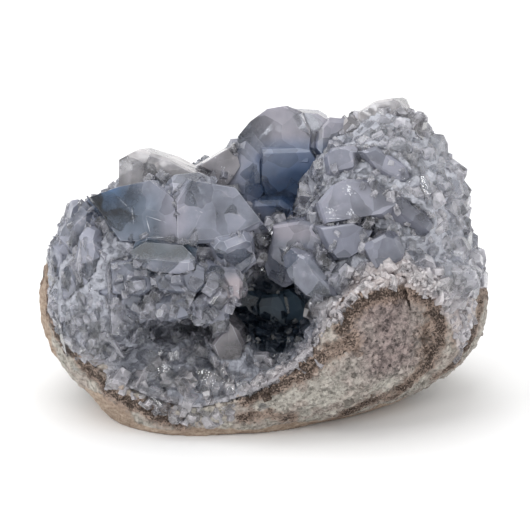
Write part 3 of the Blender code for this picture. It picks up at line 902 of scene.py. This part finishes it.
# %% [markdown]
# ## All the places together
# Most places are on the crust. Those at its border with the rock or a large crystal, those below its edge
# and those inside the narrow seams between the solids are left out, and in the dark pocket most are too.
# A crystal close to a large one stays small, or it would stick through it.

# %% Candidates
CRUST_TRIES = 75000
CLEAR_OF_ROCK, CLEAR_OF_LARGE, CLEAR_OF_EDGE = 0.15, 0.2, 0.5
SEAM = 0.5
CORNER_SIZE = 2.3
# Below this height a crystal may point down only a little, because the floor is near
NOT_DOWN_BELOW = 45


def candidates(chance):
    """Every place where a small crystal could stand: where, which way, how wide, and if it is in a gap."""
    points, facing = spots_on(CRUST, chance, CRUST_TRIES)
    to_large = distances(large_tree, points, 8.0)
    open_air = (to_large > CLEAR_OF_LARGE) & (distances(rock_tree, points, 8.0) > CLEAR_OF_ROCK)
    open_air &= above_edge(points) > CLEAR_OF_EDGE
    open_air &= [not blocked(point + way * 0.05, way, SEAM) for point, way in zip(points, facing)]
    open_air &= painted_shade_depth_of(points) < chance.uniform(0.2, 1.2, CRUST_TRIES)
    points, facing, to_large = points[open_air], facing[open_air], to_large[open_air]
    size = np.minimum(size_of(points, milk_of(points), chance), 1.5 + 1.6 * to_large)
    corners, out_of_corner = crevices(chance)
    corner_size = CORNER_SIZE * np.exp(chance.normal(0, 0.4, len(corners))).clip(0.4, 1.6)
    sources = [(points, facing, size), (corners, out_of_corner, corner_size), overgrown(chance)]
    sources += [rock_spots(chance), bridges(chance)]
    points, facing, size = (np.concatenate(part) for part in zip(*sources))
    in_gap = np.arange(len(points)) >= len(points) - len(sources[-1][0])
    facing[:, 2] = np.maximum(facing[:, 2], np.where(points[:, 2] < NOT_DOWN_BELOW, -0.1, -1.0))
    print(len(points), "places to choose from,", in_gap.sum(), "of them in gaps")
    return points, facing, size, in_gap


# %% [markdown]
# ## Room to grow
# A real crystal is rooted in the mass and stands out only a little. So each one is tested before it is
# kept: all round its root there has to be solid for a good part of its width, and none of its corners may
# reach too far from the solids. At the rear and at the lip it may not hang over bare rock either, which
# would look as if it were glued on. The root is tested with rays that pass over the narrow seams.

# %% Tests of one crystal
SEAM_WIDTH = 0.4
SHORTER = (1.0, 0.8, 0.64, 0.5)
MOST_OUT = 2.4


def shut_in(point, way, reach):
    """True where this way out of a point is through solids, for at least this far."""
    # A face met from outside after more than a seam's width means that the way led through open air
    point, way, travelled = Vector(point), Vector(way), 0.0
    while travelled < reach:
        place, normal, _, distance = whole_tree.ray_cast(point, way)
        if place is None or (distance > SEAM_WIDTH and normal.dot(way) < 0):
            return False
        travelled += distance + 0.001
        point = place + way * 0.001
    return True


def bedded_share(tip, axes, wide, long, lift):
    """How much of its length a crystal can keep with its root buried in the mass, or 0."""
    across, depth, out = axes
    least = 0.38 * wide * (lift < 0.5) + 0.05
    for share in SHORTER:
        root = tip - out * long * share
        sides = (across, -across, depth, -depth)
        if shut_in(root, out, 0.25 * wide) and all(shut_in(root, side, least) for side in sides):
            return share
    return 0.0


def stands_out(points):
    """True where a crystal reaches too far from the solids, hangs over bare rock or nears the floor."""
    for point in points:
        place, normal, _, distance = whole_tree.find_nearest(Vector(point))
        outside = (Vector(point) - place).dot(normal) > 0
        if outside and distance > MOST_OUT or point[2] < 0.3:
            return True
        at_rim = point[1] > 0 or 0 < point[0] < 24 and point[2] < 34
        if at_rim and outside and rock_tree.find_nearest(Vector(point))[3] < distance + 0.01:
            return True
    return False


# %% [markdown]
# ## Growing them
# The largest crystals go first, and each one is kept only where the ones before it leave room and it
# passes the tests. One that fails is tried shorter, and then leaves its place to a smaller one. On the
# left flank they turn upwards and stand in columns, beside the large crystals they climb a little, and
# in the milky band they lie deeper.

# %% Growing
# Two crystals keep this share of their widths' sum between their middles
SPACING = 0.33
LEAN = 0.32
# Shares of a crystal's size: its width, depth and length, and how far its tip stands above the solid
WIDTHS, DEPTHS, LENGTHS, HEIGHTS = (0.8, 1.25), (0.7, 1.05), (1.3, 2.1), (-0.08, 0.22)
# How much the columns on the left flank are longer, higher and set back
LONGER, HIGHER, SET_BACK = 1.3, 0.2, 0.22


def frames_for(facing, chance, lean):
    """Three unit vectors for each crystal: it points away from the crust, leaning at random."""
    out = unit(facing + chance.normal(0, lean, facing.shape))
    along = sideways(out, chance)
    return np.stack((along, np.cross(out, along), out), axis=1)


def stances(points, facing, size, chance):
    """How each crystal stands: its axes, its width, depth and length, its tip and its form."""
    count, lift = len(size), lift_of(points)
    axes = frames_for(facing + lift[:, None] * (0, 0, 1), chance, LEAN)
    stretch = np.stack([chance.uniform(*span, count) for span in (WIDTHS, DEPTHS, LENGTHS)], axis=1)
    stretch[:, 2] += LONGER * lift
    stretch *= size[:, None]
    raised = size * (chance.uniform(*HEIGHTS, count) + HIGHER * lift - 0.1 * milk_of(points))
    beside_large = 1 - rise(distances(large_tree, points, 6.0), 0.4, 2.5)
    raised += (0.1 + 0.16 * size) * beside_large
    tips = points + axes[:, 2] * raised[:, None] - facing * (SET_BACK * lift * size)[:, None]
    return axes, stretch, tips, chance.integers(0, FORMS, count)


def grown():
    """Where each crystal stands, and its points and triangles."""
    chance = np.random.default_rng(SEED + 1)
    points, facing, size, in_gap = candidates(chance)
    axes, stretch, tips, which = stances(points, facing, size, chance)
    lift = lift_of(points)
    kept_at, kept_size, kept, shapes = np.empty(points.shape), np.empty(len(size)), [], []
    for index in np.argsort(-size):
        standing = len(kept)
        gaps = np.linalg.norm(kept_at[:standing] - points[index], axis=1)
        if (gaps < SPACING * (kept_size[:standing] + size[index])).any():
            continue
        stance = tips[index], axes[index], size[index], stretch[index, 2], lift[index]
        share = 0.5 if in_gap[index] else bedded_share(*stance)
        form, triangles = forms[which[index]]
        made = form * stretch[index] * (1, 1, share) @ axes[index] + tips[index]
        if share == 0 or stands_out(made):
            continue
        kept_at[standing], kept_size[standing] = points[index], size[index]
        kept.append(index)
        shapes.append((made, triangles))
    print(len(kept), "small crystals,", in_gap[kept].sum(), "of them in gaps")
    return points[kept], shapes


spots, shapes = grown()

# %% [markdown]
# ## Finish of the small crystals
# Each small crystal is clear in part and milky in part, with flat patches of another shade inside, where
# it grew in steps, and pale edges that are a painted highlight. Neighbours differ, so every crystal carries
# its own tone. Clear glass alone would look like crushed ice, and a plain pale paint like plaster. So a
# clear shader and a milky one that lets light sink in are mixed, and haze, patches and tone decide the
# share of each.

# %% Small crystal finish
GLOW_REACH = 1.5
SOFTNESS = 0.35


def small_crystal_look():
    look = Look("small celestite crystals")
    tone, milk, deep, warm, light = (look.mask(name) for name in ("tone", "milk", "deep", "warm", "light"))
    haze = look.cloud(2.6, 4.0, 0.6)
    glints = look.cloud(0.6, 2.0, 0.7).step(0.66, 0.71)
    planes = look.patches(2.2, look.drift(3.0, 1.5))
    painted_edge_highlights = look.edges(0.22)
    shade = (tone * 0.45 + planes * 0.45 + haze * 0.5 - 0.2).step(0.0, 1.0)
    blue = look.blend(shade, tint(104, 110, 127), tint(166, 168, 181))
    beige = look.blend(shade, tint(124, 119, 119), tint(196, 189, 187))
    pale = look.blend(shade, tint(166, 158, 158), tint(214, 205, 203))
    colour = look.blend(warm, blue, beige)
    # Paler with the light mask: partly the crystals' colour, partly painted light, and painted shade on the
    # lip
    colour = look.blend(light * 0.65, colour, tint(220, 218, 225))
    colour = look.blend(milk * 0.85, colour, pale)
    # Painted highlight: the edges turn pale
    colour = look.blend(painted_edge_highlights * 0.5, colour, tint(224, 224, 232))
    colour = look.blend(glints * 0.8, colour, tint(240, 240, 246))
    # Painted shade: darker in the pocket, the clear part too
    colour = look.blend(deep, colour, tint(64, 76, 91))
    body = look.blend(deep, (0.93, 0.95, 0.98), (0.2, 0.3, 0.4))
    ripples = look.cloud(1.1, 3.0)
    relief = look.bump(ripples, 0.05)
    soft = look.bump(ripples, 0.05, look.rounded(SOFTNESS))
    clear = look.shader(Base_Color=body, Roughness=0.05, IOR=IOR, Transmission_Weight=1.0, Normal=relief)
    milky = look.shader(Base_Color=colour, Roughness=0.12 + 0.2 * haze, IOR=IOR, Normal=soft,
                        Subsurface_Weight=0.5, Subsurface_Radius=(1, 1, 1), Subsurface_Scale=GLOW_REACH * MM)
    share = (haze - 0.5) * 0.9 + (planes - 0.5) * 0.35 + (tone - 0.5) * 0.3
    share = 0.24 + share + 0.05 * light + 0.4 * milk + painted_edge_highlights * 0.35
    return look.close_mixed(share.step(0.0, 1.0), clear, milky)


small_look = small_crystal_look()

# %% [markdown]
# ## Pieces of small crystals
# Thousands of objects would be slow to work with, and one mesh of everything would be hard to change. So
# all crystals of one stretch become one mesh, and each keeps its values at its own points.

# %% Joining the small crystals
def joined(name, shapes, values):
    """One mesh of many bodies, with one value of each kind for each body."""
    counts = [len(points) for points, _ in shapes]
    starts = np.cumsum([0] + counts)
    mesh = bpy.data.meshes.new(name)
    triangles = np.concatenate([triangles + start for (_, triangles), start in zip(shapes, starts)])
    mesh.from_pydata((np.concatenate([points for points, _ in shapes]) * MM).tolist(), [], triangles.tolist())
    for key, source in values.items():
        store(mesh, key, np.repeat(source, counts))
    print(name, len(shapes), "bodies,", len(mesh.polygons), "triangles")
    return mesh


def warmth_of(points):
    """Beige-grey rather than blue: in the middle of the right bank and low on the front lip."""
    right_bank = blob(points, (38, -16, 50), (13, 16, 13))
    return np.maximum(right_bank, 0.8 * blob(points, (-10, -36, 15), (30, 12, 10)))


x, y, z = spots.T
STRETCHES = {
    "left_small_crystals": (x < -6) & (y < 10) & ((z > 27) | (x < -34)),
    "right_small_crystals": (x > 10) & (y < 10),
    "lip_small_crystals": y < 10,
    "rear_small_crystals": y >= 10,
}
masks = {"tone": chance.random(len(spots)), "milk": milk_of(spots), "deep": painted_shade_depth_of(spots),
         "warm": warmth_of(spots), "light": paleness_and_painted_light_of(spots)}
free = np.ones(len(spots), bool)
for name, covered in STRETCHES.items():
    here = np.flatnonzero(free & covered)
    free[here] = False
    values = {key: mask[here] for key, mask in masks.items()}
    mesh = joined(name, [shapes[index] for index in here], values)
    new_piece(name, mesh, small_look, CRUST)

# %% [markdown]
# ## Finish of the large crystals
# The body is clear but hazy: light goes in and through, loses its red on the way, and meets milky clouds.
# Transmission, the index of refraction (1.62 for celestite) and the absorption are plain values, and only
# colour, roughness, bump and the share of the milky shader vary. Faces differ from each other because the
# finish reads which way each one faces, and large flat patches with thin seams show the growth inside.

# %% Large crystal finish
GLOW = 0.3
PATCH = 6.0


def crystal_look(name, kind, places=()):
    """Clear crystal with milky clouds, and places with a colour and a milkiness of their own; one place is
    painted shade and one painted light.
    """
    look = Look(name)
    fine = look.cloud(0.9, 5.0, 0.7)
    haze = look.cloud(8.0, 2.0)
    wisps = look.cloud(3.0, 5.0, 0.62)
    # The direction in which a flat face looks, rounded, gives each face a random value of its own
    turned = look.node("ShaderNodeNewGeometry", output="True Normal")
    snapped = look.node("ShaderNodeVectorMath", {"operation": "SNAP"}, {0: turned + 0.013, 1: 0.05})
    facet = look.node("ShaderNodeTexWhiteNoise", None, {"Vector": snapped})
    streaks = look.cloud(1.0, 2.0, place=look.place * (0.9, 0.9, 0.12))
    drift = look.drift(6.0, 3.0)
    planes = look.patches(PATCH, drift)
    seams = 1 - look.cells(PATCH, "DISTANCE_TO_EDGE", drift).step(0.0, 0.022)
    tone = haze * 0.45 + facet * 0.3 + planes * 0.4 + streaks * 0.2 + fine * 0.35 - 0.3
    colour, body = look.blend(tone.step(0.15, 0.9), kind["dark"], kind["light"]), kind["body"]
    colour = look.blend(wisps.step(0.54, 0.76) * 0.6, colour, kind["veil"])
    colour = look.blend(seams * wisps.step(0.45, 0.6) * 0.6, colour, kind["veil"])
    milk = kind["milk"] + (haze - 0.5) * 1.0 + (facet - 0.5) * 0.2 + (planes - 0.5) * 0.35
    for centre, reach, local, share, change in places:
        window = look.near(centre, reach)
        colour = look.blend(window * share, colour, local)
        body = look.blend(window * share, body, local)
        milk = milk + window * change
    same = {"IOR": IOR, "Specular_IOR_Level": kind["shine"],
            "Normal": look.bump(haze * 2.0 + wisps * 0.5 + streaks * 0.2, 0.1)}
    clear = look.shader(Base_Color=body, Roughness=0.03 + 0.14 * wisps, Transmission_Weight=1.0, **same)
    milky = look.shader(Base_Color=colour, Roughness=0.1 + 0.25 * wisps, Subsurface_Weight=GLOW,
                        Subsurface_Radius=(1, 1, 1), Subsurface_Scale=GLOW_REACH * MM, **same)
    look.close_mixed(milk.step(0.0, 1.0), clear, milky)
    return look.clear_body(kind["fog"], kind["density"])


# %% [markdown]
# ## Blue, pale and dark crystals
# The blocks at the front are grey-blue, those at the top and behind greyish white, and those in the
# pocket dark blue: their strong absorption is their own, their near black colour painted shade. Some
# crystals change colour from end to end, such as the deep blue corner of the block at the upper left.
# Such places are listed, after the photo; among them a dark band on the top of the blue block is painted
# shade, and a paler patch on the pocket's crystals in the valley is painted light.

# %% Kinds of crystal and places of another colour
# Clear body, dark and light end of the milky part, its veils, what is left of light, and how milky it is
BLUE = {"body": (0.88, 0.91, 0.96), "dark": tint(100, 109, 126), "light": tint(154, 156, 170),
        "veil": tint(194, 193, 202), "fog": (0.50, 0.68, 0.86), "density": 14.0, "milk": 0.58, "shine": 0.5}
PALE = {"body": (0.93, 0.93, 0.95), "dark": tint(160, 158, 164), "light": tint(212, 208, 209),
        "veil": tint(236, 232, 231), "fog": (0.70, 0.76, 0.84), "density": 8.0, "milk": 0.5, "shine": 0.5}
# Near black colours for the pocket: painted shade; the strong blue absorption is the crystal's own
DARK_BLUE_SHADED = {"body": (0.28, 0.44, 0.58), "dark": tint(48, 62, 76), "light": tint(74, 92, 108),
        "veil": tint(84, 102, 118), "fog": (0.25, 0.42, 0.60), "density": 60.0, "milk": 0.75, "shine": 0.18}
# Paler colours on the bevelled edges: a painted highlight
EDGE_HIGHLIGHTS = {**BLUE, "body": (0.94, 0.95, 0.97), "dark": tint(164, 168, 180), "light": tint(214, 215, 224),
         "veil": tint(240, 240, 244), "milk": 0.6}
KINDS = {"cavity_crystals": DARK_BLUE_SHADED, "pale_rear_crystals": PALE, "right_peak_crystals": PALE,
         "lip_point_crystal": PALE, "small_clear_crystal": PALE}
# Middle and reach of each place, its colour and the colour's share, and the change of milkiness
PLACES = {
    "blue_block_crystals": (
        ((-42, -22, 60), (9, 8, 6), tint(66, 104, 144), 0.85, -0.25),
        # A dark band along the block's lit top face: painted shade
        ((-25, -31, 49.5), (13, 5, 2.6), tint(54, 70, 84), 1.0, -0.05),
        ((-32, -24, 55), (8, 5, 7), tint(100, 118, 138), 0.6, -0.05),
        ((-23, -26, 56), (3.5, 5, 9), tint(158, 154, 166), 0.5, 0.1),
        ((-12, -25, 55), (6, 5, 10), tint(126, 130, 144), 0.5, 0.1),
    ),
    "back_wall_crystals": (
        ((7, -2, 58), (11, 9, 9), tint(70, 100, 142), 0.9, -0.1),
        ((8, 2, 74), (12, 9, 6), tint(172, 166, 174), 0.6, 0.1),
        ((9, -2, 66), (9, 4, 4), tint(96, 110, 136), 0.6, 0.3),
    ),
    "left_bank_crystals": (
        ((-24, -31, 39), (17, 6, 9), tint(84, 92, 106), 0.45, 0),
        ((-7.5, -30.5, 38), (4, 4, 4), tint(172, 160, 164), 0.8, 0.2),
    ),
    "right_bank_crystals": (
        ((30, -18, 58), (20, 15, 15), tint(142, 142, 154), 0.55, 0.08),
        ((22, -24, 48), (12, 6, 7), tint(104, 108, 124), 0.7, 0),
    ),
    # A paler patch where the valley lies in shadow: painted light
    "cavity_crystals": (((3, -5, 41), (15, 13, 7.5), tint(124, 132, 158), 0.9, 0.2),),
    "lip_point_crystal": (((-9, -26, 22), (20, 20, 20), tint(112, 108, 116), 0.7, 0),),
    "pale_rear_crystals": (((-10.5, -3, 60), (7, 7, 8), tint(112, 110, 120), 0.7, 0),),
    "centre_crystals": (((6.7, -19, 50), (7, 5, 2.5), tint(160, 154, 164), 0.7, 0.1),),
}
print(sum(map(len, PLACES.values())), "places of another colour")

# %% [markdown]
# ## Edges that catch the light
# A real edge is never quite sharp. The solids' faces are cut into triangles, and a Bevel would round the
# cuts too. So a Weld joins the triangles' corners, a planar Decimate makes whole faces of them, and a
# narrow Bevel then gives each true edge a line that catches the light, with a paler finish of its own that
# is a painted highlight.
# The smooth dome's edges keep the finish of its faces.

# %% Finishing the large crystals
EDGE_WIDTH = 0.2
FLAT_WITHIN, SHARP_FROM = math.radians(0.6), math.radians(14)

painted_edge_highlight_finish = crystal_look("celestite edges", EDGE_HIGHLIGHTS)
shaded_dark_edges = crystal_look("pocket celestite edges", DARK_BLUE_SHADED)
for name in LARGE:
    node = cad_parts[name]
    kind = KINDS.get(name, BLUE)
    node.data.materials.clear()
    node.data.materials.append(crystal_look("celestite " + name, kind, PLACES.get(name, ())))
    node.data.materials.append(shaded_dark_edges if kind is DARK_BLUE_SHADED else painted_edge_highlight_finish)
    modify(node, "WELD", merge_threshold=WELD_WITHIN * MM)
    modify(node, "DECIMATE", decimate_type="DISSOLVE", angle_limit=FLAT_WITHIN)
    modify(node, "BEVEL", width=EDGE_WIDTH * MM, segments=2, material=int(name != SMOOTH),
           limit_method="ANGLE", angle_limit=SHARP_FROM)
print(len(LARGE), "clumps of large crystals finished")

# %% [markdown]
# ## Lenses
# Veils, cracks and chips are all thin sheets. A single sheet of faces has no inside, which clear crystal
# and the exported mesh both need, so each is a closed lens: two sides that share their rim.

# %% Lens shapes
def lens_form(spokes, rings):
    """Points (across, along, side) and triangles of a round lens, its rim shared by both sides."""
    steps = np.arange(spokes)
    turns = steps * math.tau / spokes
    circle = np.stack((np.cos(turns), np.sin(turns), np.zeros(spokes)), axis=1)
    points, triangles = [circle], []
    following = (steps + 1) % spokes
    for side in (1, -1):
        outer = steps
        for ring in reversed(rings):
            inner = sum(len(part) for part in points) + steps
            points.append(circle * ring + (0, 0, side))
            strips = (outer, outer[following], inner[following]), (outer, inner[following], inner)
            triangles += [np.stack(strip if side > 0 else strip[::-1], axis=1) for strip in strips]
            outer = inner
        middle = sum(len(part) for part in points)
        points.append(np.array([[0.0, 0.0, side]]))
        fan = (outer, outer[following], np.full(spokes, middle))
        triangles.append(np.stack(fan if side > 0 else fan[::-1], axis=1))
    return np.concatenate(points), np.concatenate(triangles)


def ragged_rim(form, chance, two, five):
    """A share for each point that makes the round lens uneven, with two large lobes and five small ones."""
    turns = np.arctan2(form[:, 1], form[:, 0])
    lobes = two * np.sin(2 * turns + chance.uniform(0, 6))
    return 1 + lobes + five * np.sin(5 * turns + chance.uniform(0, 6))


# %% [markdown]
# ## Veils inside the large crystals
# Cloudy sheets run through real celestite: healed cracks full of tiny bubbles, along the directions in
# which it splits. They are what makes it look deep, because light that enters stops on them. Noise in the
# absorption could fake them, but it would not export. Each is a thin ragged lens that lies wholly inside
# its crystal, and its finish lets most of it fade to nothing.

# %% Veils
VEILS = 620
VEIL_HALF = 0.03
VEIL_RADIUS = (1.5, 6.0)
UNDER_FACE = 0.15
veil_form, veil_triangles = lens_form(16, (0.3, 0.6, 0.85))


def inside(tree, points):
    """True where all of the points lie in the solid, a little under its surface."""
    for point in points:
        place, normal, _, distance = tree.find_nearest(Vector(point))
        if distance < UNDER_FACE or (Vector(point) - place).dot(normal) > 0:
            return False
    return True


def veil_under(tree, point, normal, chance):
    """Points of one veil that starts near this spot of a face, or None where it doesn't fit."""
    across = sideways(normal, chance)
    tilt = chance.choice((0.15, 0.5, 1.3)) + chance.normal(0, 0.12)
    facing = normal * math.cos(tilt) + across * math.sin(tilt)
    along = unit(np.cross(facing, across))
    across = np.cross(along, facing)
    radius = chance.uniform(*VEIL_RADIUS)
    centre = point - normal * (0.4 + radius * (0.15 + 0.8 * math.sin(tilt)) * chance.uniform(0.6, 1.3))
    ragged = ragged_rim(veil_form, chance, 0.28, 0.14)
    u, v = veil_form[:, 0] * ragged, veil_form[:, 1] * ragged * chance.uniform(0.45, 1.0)
    bend = chance.normal(0, 0.12) * (u * u - v * v) + chance.normal(0, 0.1) * u * v
    for smaller in 0.7 ** np.arange(4):
        sheet = u[:, None] * across + v[:, None] * along + bend[:, None] * facing
        made = centre + radius * smaller * sheet + veil_form[:, 2:] * VEIL_HALF * facing
        if inside(tree, made):
            return made
    return None


def veil_mesh():
    chance = np.random.default_rng(SEED + 30)
    veils, tones = [], []
    areas = {name: np.linalg.norm(facets(name)[1], axis=1).sum() for name in LARGE}
    for name in LARGE:
        tree = search_tree([name])
        count = round(VEILS * areas[name] / sum(areas.values()))
        for point, normal in zip(*spots_on(name, chance, count)):
            made = veil_under(tree, point, normal, chance)
            if made is not None:
                veils.append((made, veil_triangles))
                tones.append(chance.random())
    mesh = joined("veils", veils, {"tone": np.array(tones)})
    store(mesh, "fade", np.tile(1 - np.hypot(*veil_form[:, :2].T), len(veils)))
    return mesh


def veil_look():
    look = Look("fracture veils")
    feather = look.cloud(1.8, 5.0, 0.68)
    bubbles = look.cloud(0.4, 2.0, 0.6).step(0.58, 0.64) * feather.step(0.48, 0.6)
    sheet = (feather + look.mask("fade") * 0.25).step(0.5, 0.75) * (0.12 + 0.38 * look.mask("tone"))
    return look.finish(Base_Color=tint(238, 240, 246), Roughness=0.25, Alpha=sheet + bubbles * 0.9)


new_piece("fracture_veils", veil_mesh(), veil_look())

# %% [markdown]
# ## Cracks and frost
# Where a crack reaches a face it shows as a white line, and knocked places carry a frost of tiny chips.
# Drawn in a shader they would be soft at this scale, so both are flat ragged lenses, half sunk in the
# face. The lines and the frosted places stand where the photo shows them, and the chips of each place
# are scattered. Noise in their alpha keeps them from looking like confetti.

# %% Cracks and frost
# Ends of each white line and half its width
CRACKS = (
    ((-36.5, -22, 59.5), (-33, -23.5, 56.5), 0.06), ((-33.5, -23.5, 57.5), (-33, -25, 53.5), 0.1),
    ((-30, -24.5, 56), (-28.5, -26.5, 51), 0.07), ((-30, -24.5, 56), (-24.5, -26, 54.5), 0.05),
    ((-29, -26.5, 51), (-23.5, -27.5, 51), 0.07), ((-17.5, -26, 58), (-15, -26, 57), 0.07),
    ((21, -21, 62.5), (19.5, -21, 62), 0.09), ((24, -21, 62.5), (25.5, -21.5, 61.5), 0.1),
    ((22, -21.5, 61), (24, -21.5, 61), 0.1), ((15.5, -22.5, 58), (17, -23, 56.5), 0.1),
    ((15.5, -23.5, 55), (20, -24, 55), 0.1), ((21, -23.5, 56.5), (23.5, -24, 56), 0.1),
)
# Middle and reach of each frosted place, and how many chips it has
FROST = (
    ((-36, -5, 65), 3.0, 40), ((-10.5, -3, 60), 3.0, 50), ((21.5, -21.5, 61.5), 1.6, 14),
    ((16.5, -23, 56), 1.6, 26), ((22, -23.5, 56.5), 1.2, 14), ((24.5, -13.5, 70), 2.0, 16),
    ((33.5, -18, 62.5), 2.6, 24), ((34.5, -1, 75.5), 2.6, 50), ((-7.5, -30.5, 38), 2.4, 26),
    ((9, -24, 45), 4.0, 16), ((-20, -32, 37), 8.0, 50),
)
CHIP_SIZE = 0.11
CHIP_HALF = 0.04
chip_form, chip_triangles = lens_form(12, (0.6,))


def face_near(place):
    """The nearest point on the large crystals, and the direction in which its face looks."""
    point, normal, _, _ = large_tree.find_nearest(Vector(place))
    return np.array(point), np.array(normal)


def chip(point, normal, along, long, wide, chance):
    """A flat ragged lens on a face: this long, as a share of along, and this wide across it."""
    across = np.cross(normal, along) / np.linalg.norm(along)
    ragged = ragged_rim(chip_form, chance, 0.3, 0.2)
    parts = chip_form[:, 0] * ragged * long, chip_form[:, 1] * ragged * wide, chip_form[:, 2] * CHIP_HALF
    made = point + sum(part[:, None] * axis for part, axis in zip(parts, (along, across, normal)))
    return made, chip_triangles


def frost_mesh():
    chance = np.random.default_rng(SEED + 50)
    made = []
    for start, end, half in CRACKS:
        start, end = np.array(start, float), np.array(end, float)
        made.append(chip(*face_near((start + end) / 2), (end - start) / 2, 1, half, chance))
    for middle, reach, count in FROST:
        for _ in range(count):
            point, normal = face_near(middle + chance.normal(0, 0.5 * reach, 3))
            along = sideways(normal, chance)
            radius = CHIP_SIZE * math.exp(chance.normal(0, 0.6))
            wide = radius * chance.uniform(0.3, 0.9)
            made.append(chip(point, normal, along, 1.6 * radius, wide, chance))
    return joined("frost", made, {})


def frost_look():
    look = Look("frosted celestite")
    worn = look.cloud(0.5, 3.0, 0.6).step(0.35, 0.6) * 0.85
    return look.finish(Base_Color=tint(222, 224, 232), Roughness=0.3, Alpha=worn)


new_piece("frost_and_cracks", frost_mesh(), frost_look())

# %% [markdown]
# ## Grains on the rock
# Broken massive mineral looks like lump sugar: every grain has its own tone and stands out a little. A
# bump alone leaves the outline smooth. The grains are small crystals too, of the simplest forms, sunk in
# the carved rock and finished like it. Most of them are on the front, where the photo shows them.

# %% Grains
GRAINS = 4000
GRAIN_SIZE = 0.9
GRAIN_FORMS = 6
GRAINS_FROM = 3.5


def grain_mesh():
    chance = np.random.default_rng(SEED + 60)
    points, normals = arrays_of(rock.data)
    masks = rock_masks(points)
    clear_of_crust = distances(crust_tree, points, 3.0) > 0.6
    wanted = (points[:, 2] > GRAINS_FROM) & (masks["skin"] < 0.45) & clear_of_crust
    front = rise(turn_of(points), 225, 250) * (1 - rise(turn_of(points), 325, 345))
    wanted &= chance.random(len(points)) < 0.2 + 0.8 * front
    picked = chance.choice(np.flatnonzero(wanted), GRAINS, replace=False)
    simple = sorted(forms, key=lambda form: len(form[1]))[:GRAIN_FORMS]
    size = GRAIN_SIZE * np.exp(chance.normal(0, 0.3, GRAINS))
    turned = frames_for(normals[picked], chance, 0.35)
    tips = points[picked] + normals[picked] * (size * chance.uniform(-0.1, 0.15, GRAINS))[:, None]
    grains = []
    for which, wide, axes, tip in zip(chance.integers(0, GRAIN_FORMS, GRAINS), size, turned, tips):
        form, triangles = simple[which]
        grains.append((form * wide * (1, 1, 1.2) @ axes + tip, triangles))
    values = {name: mask[picked] for name, mask in masks.items()}
    return joined("grains", grains, {**values, "grain": chance.random(GRAINS)})


new_piece("sugar_grains", grain_mesh(), rock_finish, ROCK)

# %% [markdown]
# ## The camera
# The photo looks a little down on the cluster. The camera is far away with a long lens, so that near and
# far crystals keep their sizes, as they do in the photo.

# %% Camera
CAMERA_AIM = Vector((*BOWL_AXIS, 36.0)) * MM
CAMERA_DISTANCE = 620 * MM
CAMERA_ELEVATION = math.radians(18)
SHOWN_WIDTH = 140 * MM
SENSOR_WIDTH = 36


def aimed(thing, place, aim):
    """Puts a camera or a lamp at a place and turns it to look at another."""
    thing.location = place
    thing.rotation_mode = "QUATERNION"
    thing.rotation_quaternion = (Vector(place) - Vector(aim)).to_track_quat("Z", "Y")


camera = placed("camera", bpy.data.cameras.new("camera"))
camera.data.sensor_width = SENSOR_WIDTH
camera.data.lens = SENSOR_WIDTH * CAMERA_DISTANCE / SHOWN_WIDTH
camera.data.clip_start = 0.05
camera.data.clip_end = 20
back = Vector((0, -math.cos(CAMERA_ELEVATION), math.sin(CAMERA_ELEVATION)))
aimed(camera, CAMERA_AIM + back * CAMERA_DISTANCE, CAMERA_AIM)
bpy.context.scene.camera = camera
print("lens:", round(camera.data.lens), "mm")

# %% [markdown]
# ## The studio
# The stone stands in even light on white. A white floor and a bright horizon light it from all round, a
# little less from above, where a large soft lamp gives the floor its faint shadow. A lamp at the left and
# five small ones in an arc in front give the facets something to reflect, and the glints that the photo
# has all over the small crystals.

# %% Floor, lamps and sky
FLOOR_HALF = 6.0

shape = bmesh.new()
bmesh.ops.create_grid(shape, x_segments=1, y_segments=1, size=FLOOR_HALF)
floor_mesh = bpy.data.meshes.new("floor")
shape.to_mesh(floor_mesh)
shape.free()
floor_mesh.materials.append(Look("floor").finish(Base_Color=(0.94, 0.94, 0.94), Roughness=0.9))
floor = placed("floor", floor_mesh)
floor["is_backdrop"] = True


def lamp(name, place, aim_height, size, power):
    """A round lamp that looks at the axis above the floor's middle."""
    data = bpy.data.lights.new(name, "AREA")
    data.shape = "DISK"
    data.size = size
    data.energy = power
    aimed(placed(name, data), place, (0, 0, aim_height))


lamp("overhead", (-0.15, 0.20, 1.0), 0.03, 1.0, 4.2)
lamp("left", (-0.85, -0.45, 0.55), 0.04, 0.35, 1.5)
for number, turn in enumerate((-75, -40, -10, 20, 50)):
    angle = math.radians(turn)
    place = 1.1 * math.sin(angle), -0.8 * math.cos(angle), 0.75 + 0.15 * (number % 2)
    lamp("small" + str(number), place, 0.04, 0.1, 0.45)

sky = Nodes(bpy.data.worlds.new("studio"))
direction = sky.node("ShaderNodeTexCoord", output="Generated")
height = sky.node("ShaderNodeSeparateXYZ", None, {0: direction}, 2)
brightness = 1.08 - 0.22 * height.step(0.12, 0.5)
walls = sky.node("ShaderNodeBackground", None, {"Color": (1, 1, 1), "Strength": brightness})
sky.tree.links.new(walls.socket, sky.tree.nodes.new("ShaderNodeOutputWorld").inputs["Surface"])
bpy.context.scene.world = sky.owner
bpy.context.scene.view_settings.view_transform = "Standard"
print(len(bpy.data.lights), "lamps")

# %% [markdown]
# ## Sizes and the end
# The finished model has to fit the box of the solid model, so both boxes are written down side by side.

# %% Write the sizes and finish
shown_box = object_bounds()
for name, box in (("solid model", cad_box), ("shown model", shown_box)):
    print(name, [tuple(round(side / MM, 1) for side in corner) for corner in box])
